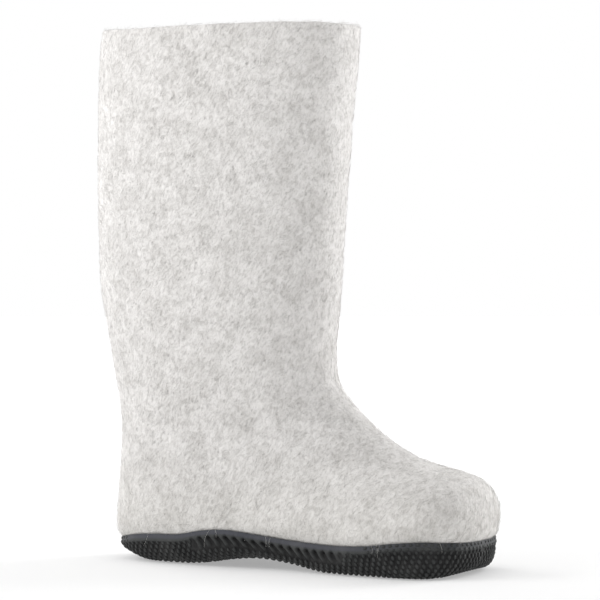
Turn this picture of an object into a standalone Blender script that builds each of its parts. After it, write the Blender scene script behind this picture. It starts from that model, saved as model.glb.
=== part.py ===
"""Felt boot on a ribbed rubber sole, standing empty on the floor.

Metres, +Z up, +X towards the toe, +Y to the wearer's left. The origin lies on
the floor at the middle of the heel's flat spot. The boot is straight-lasted, so
each piece is modelled as its right half and mirrored in the plane Y = 0.
"""

import math

import bmesh
import bpy
import numpy as np
from mathutils import Vector
from mathutils.bvhtree import BVHTree

# Driving sizes of the felt, outside
FOOT_LENGTH = 0.2655
HEEL_WIDTH = 0.0840
BALL_WIDTH = 0.1010
TOE_HEIGHT = 0.0633
THROAT_HEIGHT = 0.1290
BOOT_HEIGHT = 0.3530
SHAFT_DEPTH = 0.1815
SHAFT_WIDTH = 0.1080
ANKLE_DEPTH = 0.1525
ANKLE_WIDTH = 0.0930
BACK_LEAN = 0.0146
COLLAR_SAG = 0.0022
TIP_HEIGHT = 0.0310

# The origin's distance from the heel's back: it lies under the heel's flat spot
HEEL_REST_PLACE = 0.17
HEEL_SETBACK = FOOT_LENGTH * HEEL_REST_PLACE

# Felt thickness, and the small radius that the collar's cut edge is worn to
SHAFT_WALL = 0.0052
FOOT_WALL = 0.0070
COLLAR_ROUND = 0.0014

# Rubber sole: height of its top edge, how far its lip and its side stand out from
# the felt there, the smooth band above the ribs, and the rounding of its lower side
SOLE_THICKNESS = 0.0090
EDGE_HEIGHT = 0.0190
SOLE_LIP = 0.0010
SOLE_SIDE = 0.0026
BAND_HEIGHT = 0.0044
SIDE_ROUND = 0.0150
ARCH_RISE = 0.0060
RIB_PITCH = 0.0066
RIB_DEPTH = 0.0011
RIB_LEAN = 0.60

# Loose felt insole
INSOLE_THICKNESS = 0.0040
INSOLE_CLEARANCE = 0.0016

# Room left between two pieces that touch
GAP = 0.0003

# How finely the surfaces are cut
RING_POINTS = 19
CAP_RINGS = 7
FINE_RING_POINTS = 49
FINE_RINGS_PER_ROW = 6
FINE_CAP_RINGS = 24
EDGE_SAMPLES = 241
EDGE_PASSES = 4
INSOLE_PITCH = 0.0130
COLLAR_SEGMENTS = 2
COLLAR_CORNER = math.radians(65)
CREASE = math.radians(40)

# Points nearer than this are one point, and points of the two halves at the seam
WELD = 1e-6
SEAM_WELD = 1e-4

# A point inside the ankle, away from which the felt's faces point
FELT_INSIDE = Vector((HEEL_SETBACK / 2, 0.0, THROAT_HEIGHT))

# Shaft, from the collar down. front: height of the shin's point, as a share of
# the way from throat to collar. back: height of the calf's point, as a share of
# the boot's height. lean: of the back lean. depth, width: share of the way from
# the ankle's size to the collar's. sag: of the collar's sag.
SHAFT_COLUMNS = ("front", "back", "lean", "depth", "width", "sag")
SHAFT_ROWS = (
    (0.994, 1.002, 0.75, 1.00, 1.00, 1.0),
    (0.920, 0.949, 0.89, 1.04, 1.00, 0.5),
    (0.763, 0.850, 0.97, 0.96, 1.00, 0.0),
    (0.585, 0.737, 1.00, 0.86, 0.94, 0.0),
    (0.406, 0.623, 0.98, 0.74, 0.80, 0.0),
    (0.254, 0.521, 0.87, 0.62, 0.60, 0.0),
    (0.138, 0.428, 0.50, 0.36, 0.40, 0.0),
    (0.058, 0.346, 0.10, 0.11, 0.20, 0.0),
    (0.000, 0.278, -0.14, 0.00, 0.00, 0.0),
)

# Foot, from the ankle to where the toe's round end begins. reach: top point, as
# a share of the way from shin to toe tip. top: its height, from toe height to
# throat height. under: back or bottom point, as a share of the foot's length.
# rise: its height over the sole, as a share of the throat height. arch: of the
# arch rise. width: from heel width to ball width. square: exponent of the
# section's lower half. widest: where the section is widest, from the bottom.
FOOT_COLUMNS = ("reach", "top", "under", "rise", "arch", "width", "square", "widest")
FOOT_ROWS = (
    (0.022, 0.875, 0.015, 0.507, 0.00, 0.30, 2.50, 0.50),
    (0.057, 0.775, 0.010, 0.320, 0.00, 0.20, 2.60, 0.50),
    (0.105, 0.684, 0.005, 0.172, 0.00, 0.12, 2.70, 0.49),
    (0.162, 0.594, 0.007, 0.066, 0.00, 0.06, 2.80, 0.48),
    (0.226, 0.495, 0.045, 0.010, 0.00, 0.00, 2.80, 0.46),
    (0.294, 0.397, 0.125, 0.000, 0.00, 0.00, 2.90, 0.44),
    (0.372, 0.308, 0.207, 0.000, 0.05, 0.00, 2.90, 0.42),
    (0.446, 0.232, 0.290, 0.000, 0.32, 0.06, 2.90, 0.41),
    (0.519, 0.168, 0.369, 0.000, 0.80, 0.18, 2.90, 0.40),
    (0.590, 0.118, 0.448, 0.000, 1.00, 0.35, 2.90, 0.40),
    (0.657, 0.083, 0.527, 0.000, 0.78, 0.58, 2.90, 0.40),
    (0.722, 0.051, 0.603, 0.000, 0.36, 0.82, 2.90, 0.40),
    (0.784, 0.026, 0.678, 0.000, 0.07, 0.98, 2.90, 0.40),
    (0.840, 0.000, 0.754, 0.000, 0.00, 1.00, 2.90, 0.41),
)

# The toe's round end: slopes with which its top and bottom lines set out, how far
# on the bottom line's arc is centred, as a share of the foot's length, and the
# exponents of its outlines
CAP_TOP_SLOPE = -0.30
CAP_BOTTOM_SLOPE = 0.02
CAP_BOTTOM_SHIFT = 0.011
CAP_TOP_SQUARE = 2.3
CAP_BOTTOM_SQUARE = 2.8
CAP_PLAN_SQUARE = 2.8
UPPER_HALF_SQUARE = 2.2
SHAFT_SQUARE = 2.2

# Greatest value of the sag's curve round a ring
SAG_PEAK = 32 / 27

# The sole. place: along the foot's length. edge: height of the top edge, as a share
# of the edge height. side: how far it stands out under the band, as a share of the
# sole side. lift: of the bottom over the floor, as a share of the arch rise. round:
# how far in the lower side's rounding reaches, as a share of the side round.
# square: the rounding's exponent.
SOLE_COLUMNS = ("place", "edge", "side", "lift", "round", "square")
SOLE_ROWS = (
    (-0.02, 0.67, 0.35, 0.95, 1.70, 2.0),
    (0.04, 0.80, 0.45, 0.40, 1.50, 2.1),
    (0.10, 0.95, 0.80, 0.00, 1.20, 2.3),
    (0.16, 1.02, 1.00, 0.00, 1.00, 2.5),
    (0.23, 1.05, 1.00, 0.00, 1.00, 2.6),
    (0.30, 1.23, 1.00, 0.25, 1.00, 2.6),
    (0.37, 1.31, 1.00, 0.75, 1.00, 2.6),
    (0.44, 1.22, 1.00, 1.00, 1.00, 2.6),
    (0.53, 1.08, 1.00, 0.65, 1.00, 2.9),
    (0.64, 1.00, 1.00, 0.00, 1.00, 3.6),
    (0.76, 1.04, 1.00, 0.00, 1.00, 4.2),
    (0.85, 1.20, 1.00, 0.00, 1.00, 4.2),
    (0.92, 1.25, 0.85, 0.00, 0.90, 3.8),
    (0.97, 1.20, 0.40, 0.20, 0.90, 2.8),
    (1.02, 1.12, 0.10, 0.70, 1.10, 2.2),
)

# Levels of a section of the sole: drop, of the way down its side, and angle on the
# lower side's rounding. Then the shares of the bottom from there to the spine.
SIDE_LEVELS = ((0.30, 8), (0.55, 27), (0.72, 45), (0.90, 64), (1.00, 90))
BOTTOM_SHARES = (0.5, 0.0)

# The sole's spine, on which its sections turn: its ends, along the foot's length
SPINE_HEEL = 0.150
SPINE_TOE = 0.800

# The insole's points across, as shares of the way out from the spine
INSOLE_SHARES = (1.0, 0.82, 0.45, 0.0)

# Colours and surfaces
FELT = {"name": "felt", "color": (0.68, 0.665, 0.645, 1.0), "roughness": 0.95}
RUBBER = {"name": "rubber", "color": (0.035, 0.036, 0.040, 1.0), "roughness": 0.62}
INSOLE_FELT = {"name": "insole_felt", "color": (0.55, 0.535, 0.515, 1.0), "roughness": 0.95}


def clear_scene():
    """Empty the scene of whatever it starts with."""
    for obj in list(bpy.data.objects):
        bpy.data.objects.remove(obj, do_unlink=True)


def lerp(a, b, share):
    return a + (b - a) * share


def shaft_section(row):
    """Front and back point, half width, squareness, widest place and sag of a row."""
    s = dict(zip(SHAFT_COLUMNS, row))
    back_x = -BACK_LEAN * s["lean"]
    depth = lerp(ANKLE_DEPTH, SHAFT_DEPTH, s["depth"])
    front_z = lerp(THROAT_HEIGHT, BOOT_HEIGHT, s["front"])
    half = lerp(ANKLE_WIDTH, SHAFT_WIDTH, s["width"]) / 2
    sag = COLLAR_SAG * s["sag"]
    return (back_x + depth, front_z, back_x, BOOT_HEIGHT * s["back"], half, SHAFT_SQUARE, 0.5, sag)


def shin_x():
    """Where the shin meets the instep, from the heel's back."""
    return shaft_section(SHAFT_ROWS[-1])[0]


def foot_section(row):
    """The same eight values for a row of the foot."""
    f = dict(zip(FOOT_COLUMNS, row))
    top_x = lerp(shin_x(), FOOT_LENGTH, f["reach"])
    top_z = lerp(TOE_HEIGHT, THROAT_HEIGHT, f["top"])
    under_z = SOLE_THICKNESS + THROAT_HEIGHT * f["rise"] + ARCH_RISE * f["arch"]
    half = lerp(HEEL_WIDTH, BALL_WIDTH, f["width"]) / 2
    under_x = FOOT_LENGTH * f["under"]
    return (top_x, top_z, under_x, under_z, half, f["square"], f["widest"], 0.0)


def all_sections():
    """One line per section, collar to toe, as an array."""
    shaft = [shaft_section(row) for row in SHAFT_ROWS]
    foot = [foot_section(row) for row in FOOT_ROWS]
    return np.array(shaft + foot)


def between_sections(sections, place):
    """Smooth curve through the sections: the values at a place between rows."""
    last = len(sections) - 1
    i = min(int(place), last - 1)
    t = place - i
    p1, p2 = sections[i], sections[i + 1]
    p0 = sections[i - 1] if i > 0 else 2 * p1 - p2
    p3 = sections[i + 2] if i + 2 <= last else 2 * p2 - p1
    bend = 2 * p0 - 5 * p1 + 4 * p2 - p3
    twist = -p0 + 3 * p1 - 3 * p2 + p3
    return 0.5 * (2 * p1 + (p2 - p0) * t + bend * t * t + twist * t**3)


def corner_arc(start, end, centre, angle, square):
    """Point of a rounded corner from start to end, which leaves centre at its back."""
    fall = max(math.cos(angle), 0.0) ** (2 / square)
    rise = math.sin(angle) ** (2 / square)
    return centre + (start - centre) * fall + (end - centre) * rise


def cap_section(start, angle):
    """Section of the toe's round end, at an angle from its start to the tip."""
    fade = max(math.cos(angle), 0.0)
    tip = np.array((FOOT_LENGTH, TIP_HEIGHT))
    top, under = start[0:2], start[2:4]
    top_run = tip[0] - top[0]
    top_centre = tip - np.array((1.0, CAP_TOP_SLOPE)) * top_run
    under_run = tip[0] - under[0] - CAP_BOTTOM_SHIFT * FOOT_LENGTH
    under_centre = tip - np.array((1.0, CAP_BOTTOM_SLOPE)) * under_run
    top_point = corner_arc(top, tip, top_centre, angle, CAP_TOP_SQUARE)
    under_point = corner_arc(under, tip, under_centre, angle, CAP_BOTTOM_SQUARE)
    half = start[4] * fade ** (2 / CAP_PLAN_SQUARE)
    widest = lerp(start[6], 0.5, math.sin(angle))
    return np.array((*top_point, *under_point, half, start[5], widest, 0.0))


def half_ring(section, count):
    """Points of a section's right half, from its front round to its back.

    The sag lowers a ring's sides, most of all towards its back.
    """
    top = np.array((section[0], section[1]))
    under = np.array((section[2], section[3]))
    half, square, widest, sag = section[4:8]
    middle = lerp(under, top, widest)
    points = []
    for turn in np.linspace(0.0, math.pi, count):
        c, s = math.cos(turn), math.sin(turn)
        power = 2 / (UPPER_HALF_SQUARE if c > 0 else square)
        along = (top - middle if c > 0 else under - middle) * abs(c) ** power
        x, z = middle + along
        z -= sag * s * s * (1 - c) / SAG_PEAK
        points.append((x - HEEL_SETBACK, -half * max(s, 0.0) ** power, z))
    points[0] = (points[0][0], 0.0, points[0][2])
    points[-1] = (points[-1][0], 0.0, points[-1][2])
    return points


def boot_rings(count, rows_between, cap_rings):
    """The felt's outer surface, right half, as rings from collar to toe tip."""
    sections = all_sections()
    places = np.linspace(0, len(sections) - 1, (len(sections) - 1) * rows_between + 1)
    rings = [half_ring(between_sections(sections, place), count) for place in places]
    for angle in np.linspace(0, math.pi / 2, cap_rings + 1)[1:]:
        rings.append(half_ring(cap_section(sections[-1], angle), count))
    return rings


def wall_at(height):
    """Felt thickness at a height: thin at the shaft, thicker round the foot."""
    share = (height - THROAT_HEIGHT) / (BOOT_HEIGHT - THROAT_HEIGHT)
    return lerp(FOOT_WALL, SHAFT_WALL, min(max(share, 0.0), 1.0))


def lay_grid(bm, rings):
    """Quads between neighbouring rings of points; returns the vertices."""
    laid = [[bm.verts.new(p) for p in ring] for ring in rings]
    for a, b in zip(laid, laid[1:]):
        for i in range(len(a) - 1):
            bm.faces.new((a[i], a[i + 1], b[i + 1], b[i]))
    return laid


def object_from(bm, name, collection):
    """Weld the points that coincide, and put the mesh in an object."""
    bmesh.ops.remove_doubles(bm, verts=bm.verts, dist=WELD)
    bmesh.ops.dissolve_degenerate(bm, edges=bm.edges, dist=WELD / 10)
    mesh = bpy.data.meshes.new(name)
    bm.to_mesh(mesh)
    bm.free()
    obj = bpy.data.objects.new(name, mesh)
    collection.objects.link(obj)
    return obj


def face_outwards(obj, inside):
    """Turn an open half shell's faces so that they point away from a point inside."""
    bm = bmesh.new()
    bm.from_mesh(obj.data)
    bmesh.ops.recalc_face_normals(bm, faces=bm.faces)
    bm.faces.ensure_lookup_table()
    out = sum((f.calc_center_median() - inside).dot(f.normal) * f.calc_area() for f in bm.faces)
    if out < 0:
        bmesh.ops.reverse_faces(bm, faces=bm.faces)
    bm.to_mesh(obj.data)
    bm.free()


def mirror_halves(obj):
    mirror = obj.modifiers.new("other_half", "MIRROR")
    mirror.use_axis = (False, True, False)
    mirror.merge_threshold = SEAM_WELD


def give_material(obj, look):
    material = bpy.data.materials.new(look["name"])
    material.use_nodes = True
    shader = material.node_tree.nodes["Principled BSDF"]
    shader.inputs["Base Color"].default_value = look["color"]
    shader.inputs["Roughness"].default_value = look["roughness"]
    shader.inputs["Metallic"].default_value = 0.0
    material.diffuse_color = look["color"]
    obj.data.materials.append(material)
    obj.data.shade_smooth()


def make_upper(collection):
    """The felt boot: one seamless shell, closed under the foot, open at the collar."""
    bm = bmesh.new()
    lay_grid(bm, boot_rings(RING_POINTS, 1, CAP_RINGS))
    obj = object_from(bm, "upper", collection)
    face_outwards(obj, FELT_INSIDE)
    thick = obj.vertex_groups.new(name="thickness")
    for vertex in obj.data.vertices:
        thick.add([vertex.index], wall_at(vertex.co.z) / FOOT_WALL, "REPLACE")
    mirror_halves(obj)
    wall = obj.modifiers.new("felt_wall", "SOLIDIFY")
    wall.thickness = FOOT_WALL
    wall.offset = -1.0
    wall.use_even_offset = True
    wall.vertex_group = thick.name
    collar = obj.modifiers.new("worn_collar", "BEVEL")
    collar.width = COLLAR_ROUND
    collar.segments = COLLAR_SEGMENTS
    collar.limit_method = "ANGLE"
    collar.angle_limit = COLLAR_CORNER
    give_material(obj, FELT)
    return obj


def outer_tree():
    """The felt's outer surface, both halves, finely cut, ready to be met by rays."""
    rings = boot_rings(FINE_RING_POINTS, FINE_RINGS_PER_ROW, FINE_CAP_RINGS)
    whole = [ring + [(x, -y, z) for x, y, z in reversed(ring[:-1])] for ring in rings]
    width = len(whole[0])
    points = [Vector(p) for ring in whole for p in ring]
    faces = []
    for i in range(len(whole) - 1):
        for j in range(width - 1):
            a = i * width + j
            faces.append((a, a + 1, a + 1 + width, a + width))
    return BVHTree.FromPolygons(points, faces)


def ray_length(tree, start, direction):
    """Distance from a point inside the boot to the surface that a ray meets."""
    hit = tree.ray_cast(start, direction, FOOT_LENGTH)[0]
    return (hit - start).length


def sole_values(x):
    """The sole at a place along the foot: height of its edge, how far its side stands
    out, height of its bottom, and how far in its rounding reaches, with its exponent."""
    table = np.array(SOLE_ROWS)
    place = (x + HEEL_SETBACK) / FOOT_LENGTH
    i = int(np.clip(np.searchsorted(table[:, 0], place) - 1, 0, len(table) - 2))
    slopes = np.gradient(table[:, 1:], table[:, 0], axis=0)
    run = table[i + 1, 0] - table[i, 0]
    t = float(np.clip((place - table[i, 0]) / run, 0.0, 1.0))
    start, end = table[i, 1:], table[i + 1, 1:]
    line = (2 * t**3 - 3 * t**2 + 1) * start + (3 * t**2 - 2 * t**3) * end
    turn = (t**3 - 2 * t**2 + t) * slopes[i] + (t**3 - t**2) * slopes[i + 1]
    edge, side, lift, rounding, square = line + turn * run
    bottom = ARCH_RISE * max(lift, 0.0)
    return EDGE_HEIGHT * edge, SOLE_SIDE * side, bottom, SIDE_ROUND * rounding, square


def spine_pose(travel):
    """Foot of a half section on the spine and its heading, by travel 0 to 3.

    0 to 1 turns round the heel, 1 to 2 runs along the foot, 2 to 3 turns round
    the toe, all on the right-hand side.
    """
    heel_x = SPINE_HEEL * FOOT_LENGTH - HEEL_SETBACK
    toe_x = SPINE_TOE * FOOT_LENGTH - HEEL_SETBACK
    along = min(max(travel - 1.0, 0.0), 1.0)
    turn = min(travel, 1.0) + max(travel - 2.0, 0.0)
    heading = Vector((-math.cos(turn * math.pi / 2), -math.sin(turn * math.pi / 2), 0.0))
    return lerp(heel_x, toe_x, along), heading


def edge_point(tree, travel):
    """Where the sole's top edge meets the felt, with its foot on the spine."""
    x, heading = spine_pose(travel)
    point = Vector((x, 0.0, EDGE_HEIGHT))
    for _ in range(EDGE_PASSES):
        start = Vector((x, 0.0, sole_values(point.x)[0]))
        point = start + heading * ray_length(tree, start, heading)
    return start, heading, point


def edge_run(tree):
    """Lengths along the sole's top edge, heel to toe, and the travel at each."""
    travels = np.linspace(0.0, 3.0, EDGE_SAMPLES)
    points = [edge_point(tree, t)[2] for t in travels]
    steps = [(b - a).length for a, b in zip(points, points[1:])]
    return np.concatenate(([0.0], np.cumsum(steps))), travels


def even_lengths(run, pitch):
    """Lengths that divide the edge into an even number of equal steps."""
    return np.linspace(0.0, run[-1], 2 * round(run[-1] / pitch) + 1)


def side_point(tree, travel, angle, groove):
    """Point of the sole's lower side, at an angle from its band to its bottom."""
    start, heading, edge = edge_point(tree, travel)
    height, side, bottom, rounding, square = sole_values(edge.x)
    reach = (edge - start).length + GAP + side - rounding - groove
    c, s = math.cos(math.radians(angle)), math.sin(math.radians(angle))
    out = reach + rounding * max(c, 0.0) ** (2 / square)
    top = height - BAND_HEIGHT
    z = top - (top - bottom - groove) * s ** (2 / square)
    return (start.x + heading.x * out, heading.y * out, z)


def band_point(tree, travel, out, drop):
    """Point of the smooth band under the sole's edge, out from the felt and down."""
    start, heading, edge = edge_point(tree, travel)
    reach = (edge - start).length + GAP + out
    return (start.x + heading.x * reach, heading.y * reach, edge.z - drop)


def bottom_point(tree, travel, share):
    """Point of the sole's bottom, at a share of the way out from the spine."""
    start, heading, edge = edge_point(tree, travel)
    values = sole_values(edge.x)
    out = ((edge - start).length + GAP + values[1] - values[3]) * share
    x = start.x + heading.x * out
    return (x, heading.y * out, sole_values(x)[2])


def sole_section(tree, run, travels, length, groove):
    """Points of one line down the sole's outer face and in to the spine.

    The ribs lean, so the line moves towards the toe as it goes down, except at
    the heel's back and the toe's tip, where the two halves meet.
    """
    slant = RIB_LEAN * EDGE_HEIGHT * math.sin(math.pi * length / run[-1])

    def travel_at(drop):
        return float(np.interp(length + slant * drop, run, travels))

    first = travel_at(0.0)
    side = sole_values(edge_point(tree, first)[2].x)[1]
    lip = band_point(tree, first, SOLE_LIP * side / SOLE_SIDE, 0.0)
    points = [(lip[0], 0.0, lip[2]), lip, band_point(tree, first, side, BAND_HEIGHT)]
    for drop, angle in SIDE_LEVELS:
        points.append(side_point(tree, travel_at(drop), angle, RIB_DEPTH * groove))
    points += [bottom_point(tree, travel_at(1.0), share) for share in BOTTOM_SHARES]
    return points


def make_felt_form(collection):
    """A cutter: the felt's outside as a solid, grown by the gap that pieces keep."""
    bm = bmesh.new()
    laid = lay_grid(bm, boot_rings(RING_POINTS, 1, CAP_RINGS))
    bm.faces.new(laid[0])
    obj = object_from(bm, "felt_form", collection)
    face_outwards(obj, FELT_INSIDE)
    mirror_halves(obj)
    grow = obj.modifiers.new("room", "DISPLACE")
    grow.direction = "NORMAL"
    grow.mid_level = 0.0
    grow.strength = GAP
    obj.hide_render = True
    obj.display_type = "WIRE"
    return obj


def make_outsole(collection, tree, felt_form):
    """The rubber sole: bevelled to a smooth band at its edge, ribbed below it, with
    flat spots under heel and ball, and dished to the felt that sits in it."""
    run, travels = edge_run(tree)
    lines = enumerate(even_lengths(run, RIB_PITCH))
    bm = bmesh.new()
    lay_grid(bm, [sole_section(tree, run, travels, length, i % 2) for i, length in lines])
    obj = object_from(bm, "outsole", collection)
    face_outwards(obj, Vector((0.0, 0.0, SOLE_THICKNESS)))
    mirror_halves(obj)
    dish = obj.modifiers.new("dish", "BOOLEAN")
    dish.operation = "DIFFERENCE"
    dish.object = felt_form
    give_material(obj, RUBBER)
    obj.data.set_sharp_from_angle(angle=CREASE)
    return obj


def inner_tree(upper):
    """The finished felt's surface, to lay the insole on."""
    graph = bpy.context.evaluated_depsgraph_get()
    mesh = upper.evaluated_get(graph).to_mesh()
    points = [v.co.copy() for v in mesh.vertices]
    faces = [tuple(p.vertices) for p in mesh.polygons]
    upper.evaluated_get(graph).to_mesh_clear()
    return BVHTree.FromPolygons(points, faces)


def make_insole(collection, tree, floor):
    """A loose felt insole that lies on the boot's floor."""
    run, travels = edge_run(tree)
    down = Vector((0, 0, -1))
    rings_low, rings_high = [], []
    for length in even_lengths(run, INSOLE_PITCH):
        x, heading = spine_pose(float(np.interp(length, run, travels)))
        start = Vector((x, 0.0, TIP_HEIGHT))
        low_z = start.z - ray_length(floor, start, down)
        level = Vector((x, 0.0, low_z + INSOLE_THICKNESS))
        reach = ray_length(floor, level, heading) - INSOLE_CLEARANCE
        low, high = [], []
        for share in INSOLE_SHARES:
            above = Vector((x + heading.x * reach * share, heading.y * reach * share, start.z))
            z = above.z - ray_length(floor, above, down) + GAP
            low.append((above.x, above.y, z))
            high.append((above.x, above.y, z + INSOLE_THICKNESS))
        rings_low.append(low)
        rings_high.append(high)
    bm = bmesh.new()
    under = lay_grid(bm, rings_low)
    over = lay_grid(bm, rings_high)
    for a, b, c, d in zip(under, under[1:], over, over[1:]):
        bm.faces.new((a[0], b[0], d[0], c[0]))
    obj = object_from(bm, "insole", collection)
    face_outwards(obj, Vector((0.0, 0.0, SOLE_THICKNESS + FOOT_WALL + INSOLE_THICKNESS / 2)))
    mirror_halves(obj)
    give_material(obj, INSOLE_FELT)
    obj.data.set_sharp_from_angle(angle=CREASE)
    return obj


def main():
    clear_scene()
    boot = bpy.data.collections.new("felt_boot")
    cutters = bpy.data.collections.new("cutters")
    for collection in (boot, cutters):
        bpy.context.scene.collection.children.link(collection)
    upper = make_upper(boot)
    tree = outer_tree()
    make_outsole(boot, tree, make_felt_form(cutters))
    bpy.context.view_layer.update()
    make_insole(boot, tree, inner_tree(upper))


main()
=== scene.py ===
"""Looks of a tall felt boot on a ribbed rubber sole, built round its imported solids.

The felt, the sole and the loose insole each replace their solid with a finer form of
the same sizes. Wool fibres, tread nubs and a few stray hairs are added to them, and
a plain studio stands round the boot.
"""

import logging
import math
from collections.abc import Iterable
from dataclasses import asdict, dataclass, field
from enum import Enum
from functools import cache

import bmesh
import bpy
import numpy as np
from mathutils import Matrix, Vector, noise
from mathutils.bvhtree import BVHTree


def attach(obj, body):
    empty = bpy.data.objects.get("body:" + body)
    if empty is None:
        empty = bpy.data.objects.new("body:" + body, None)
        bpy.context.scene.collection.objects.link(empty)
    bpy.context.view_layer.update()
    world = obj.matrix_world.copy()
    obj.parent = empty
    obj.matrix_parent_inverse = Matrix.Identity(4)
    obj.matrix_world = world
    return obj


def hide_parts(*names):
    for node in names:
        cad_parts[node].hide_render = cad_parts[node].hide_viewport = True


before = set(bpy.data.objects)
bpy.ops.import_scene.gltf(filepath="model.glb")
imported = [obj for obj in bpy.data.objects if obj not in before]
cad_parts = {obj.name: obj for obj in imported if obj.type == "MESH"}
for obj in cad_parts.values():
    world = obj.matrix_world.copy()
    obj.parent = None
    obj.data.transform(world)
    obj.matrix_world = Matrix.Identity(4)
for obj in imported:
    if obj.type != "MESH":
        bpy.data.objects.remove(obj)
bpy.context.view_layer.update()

log = logging.getLogger("felt_boot")

BODY = "root"
SAG_PEAK = 32 / 27
MIRROR = (1, -1, 1)
WELD = 2e-6
THIN_EDGE = 1e-7

# each layer's noise: scale, detail, roughness, and between which values its share rises
WOOL_LAYERS = {
    "clouds": (60.0, 3.0, 0.55, 0.36, 0.66),
    "blotches": (230.0, 3.0, 0.65, 0.42, 0.66),
    "strands": (820.0, 3.0, 0.65, 0.45, 0.63),
    "dark": (640.0, 2.0, 0.6, 0.55, 0.72),
}
WOOL_FINE = (1900.0, 2.0, 0.6)
WOOL_COVER = (0.32, 0.40, 0.42)
WOOL_GATHER = (0.7, 0.3)
WOOL_HEIGHTS = (-0.5, 0.5, -0.6)
WOOL_WANDER = (160.0, 0.0022)
WOOL_DRAWN = (2.6, 1.2, 1.0)
WOOL_SLANT = math.radians(-58)
DUST_PATCHES = (75.0, 4.0, 0.6, 0.42, 0.74)
DUST_GRAIN = (1500.0, 3.0, 0.65)
SPECK_SCALE = 190.0
SPECK_EDGE = (0.075, 0.045)
SPECK_RARITY = 0.90
# a fibre's start, middle and end, as shares of its length, length and lift
FIBRE_BEND = {"Start": (-0.4, 0.0, -0.15), "Middle": (0.1, 0.16, 1.0), "End": (0.6, -0.05, 0.7)}
FIBRE_TAPER = 0.6
FIBRE_SIZES = ((0.45, 0.7, 0.15), (1.35, 1.2, 1.7))

Colour = tuple[float, float, float]
Socket = bpy.types.NodeSocket


class Side(Enum):
    """The two halves of the straight-lasted boot."""

    RIGHT = -1
    LEFT = 1


class NubPlace(Enum):
    """Where a field of tread nubs lies on the sole."""

    FLANK = "flank"
    TREAD = "tread"


# Meshes


def smoothstep(low: np.ndarray | float, high: np.ndarray | float, value: np.ndarray) -> np.ndarray:
    """Rise softly from 0 at low to 1 at high, at each value."""
    t = np.clip((value - low) / (high - low), 0.0, 1.0)
    return t * t * (3 - 2 * t)


def grid_faces(rows: int, columns: int, loop: bool) -> list[tuple[int, int, int, int]]:
    """Quads of a grid of points that is numbered row by row.

    Args:
        rows: Number of rows.
        columns: Number of points in a row.
        loop: Whether each row closes on itself.

    Returns:
        The corner numbers of each quad.
    """
    faces = []
    for i in range(rows - 1):
        for j in range(columns if loop else columns - 1):
            k = (j + 1) % columns
            a, b = i * columns, (i + 1) * columns
            faces.append((a + j, a + k, b + k, b + j))
    return faces


def mesh_object(
    name: str, points: np.ndarray, faces: list, facts: dict[str, np.ndarray]
) -> bpy.types.Object:
    """Put points and faces in an object, weld it and turn its faces outwards.

    Args:
        name: The object's name.
        points: Coordinates, one point a line.
        faces: Corner numbers of each face.
        facts: Values to keep at the points, by attribute name.

    Returns:
        The object, linked to the scene.
    """
    mesh = bpy.data.meshes.new(name)
    mesh.from_pydata(np.asarray(points).tolist(), [], faces)
    for key, values in facts.items():
        kind = "FLOAT" if np.ndim(values) == 1 else "FLOAT_VECTOR"
        place = mesh.attributes.new(key, kind, "POINT")
        place.data.foreach_set("value" if kind == "FLOAT" else "vector", np.ravel(values))
    if faces:
        bm = bmesh.new()
        bm.from_mesh(mesh)
        bmesh.ops.remove_doubles(bm, verts=bm.verts, dist=WELD)
        bmesh.ops.dissolve_degenerate(bm, edges=bm.edges, dist=THIN_EDGE)
        bmesh.ops.recalc_face_normals(bm, faces=bm.faces)
        bm.to_mesh(mesh)
        bm.free()
        mesh.shade_smooth()
    obj = bpy.data.objects.new(name, mesh)
    bpy.context.scene.collection.objects.link(obj)
    return obj


def grid_object(name: str, grid: np.ndarray, facts: dict[str, np.ndarray]) -> bpy.types.Object:
    """Make an object from closed rows of points, with values kept at them."""
    faces = grid_faces(grid.shape[0], grid.shape[1], True)
    return mesh_object(name, grid.reshape(-1, 3), faces, facts)


def both_halves(grid: np.ndarray) -> np.ndarray:
    """Close rows of points of the right half with their mirror image."""
    return np.concatenate((grid, grid[:, -2:0:-1] * MIRROR), axis=1)


def point_normals(grid: np.ndarray, loop: bool) -> np.ndarray:
    """Unit normals of a grid of points, rows by columns.

    Args:
        grid: The points, as rows x columns x 3.
        loop: Whether each row closes on itself.

    Returns:
        The normals, in the grid's own order, to the left of a row's run.
    """
    down = np.gradient(grid, axis=0)
    if loop:
        along = np.roll(grid, -1, axis=1) - np.roll(grid, 1, axis=1)
    else:
        along = np.gradient(grid, axis=1)
    cross = np.cross(along, down)
    return cross / np.maximum(np.linalg.norm(cross, axis=2, keepdims=True), 1e-12)


def outward(grid: np.ndarray, loop: bool, row: int, middle: np.ndarray | None = None) -> np.ndarray:
    """Unit normals of a grid, turned away from its middle.

    Args:
        grid: The points, as rows x columns x 3.
        loop: Whether each row closes on itself.
        row: The row that tells which way is out.
        middle: A place inside, or the mean of the points.

    Returns:
        The normals, in the grid's own order.
    """
    normals = point_normals(grid, loop)
    inside = grid.mean(axis=(0, 1)) if middle is None else middle
    return -normals if np.sum((grid[row] - inside) * normals[row]) < 0 else normals


def between_points(grid: np.ndarray, row: float, column: float) -> np.ndarray:
    """Read a grid between four of its points.

    Args:
        grid: Values, rows by columns.
        row: Place down the rows.
        column: Place along a row.

    Returns:
        The value there.
    """
    k, i = min(int(row), len(grid) - 2), min(int(column), grid.shape[1] - 2)
    v, u = row - k, column - i
    low = grid[k, i] * (1 - u) + grid[k, i + 1] * u
    high = grid[k + 1, i] * (1 - u) + grid[k + 1, i + 1] * u
    return low * (1 - v) + high * v


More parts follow.
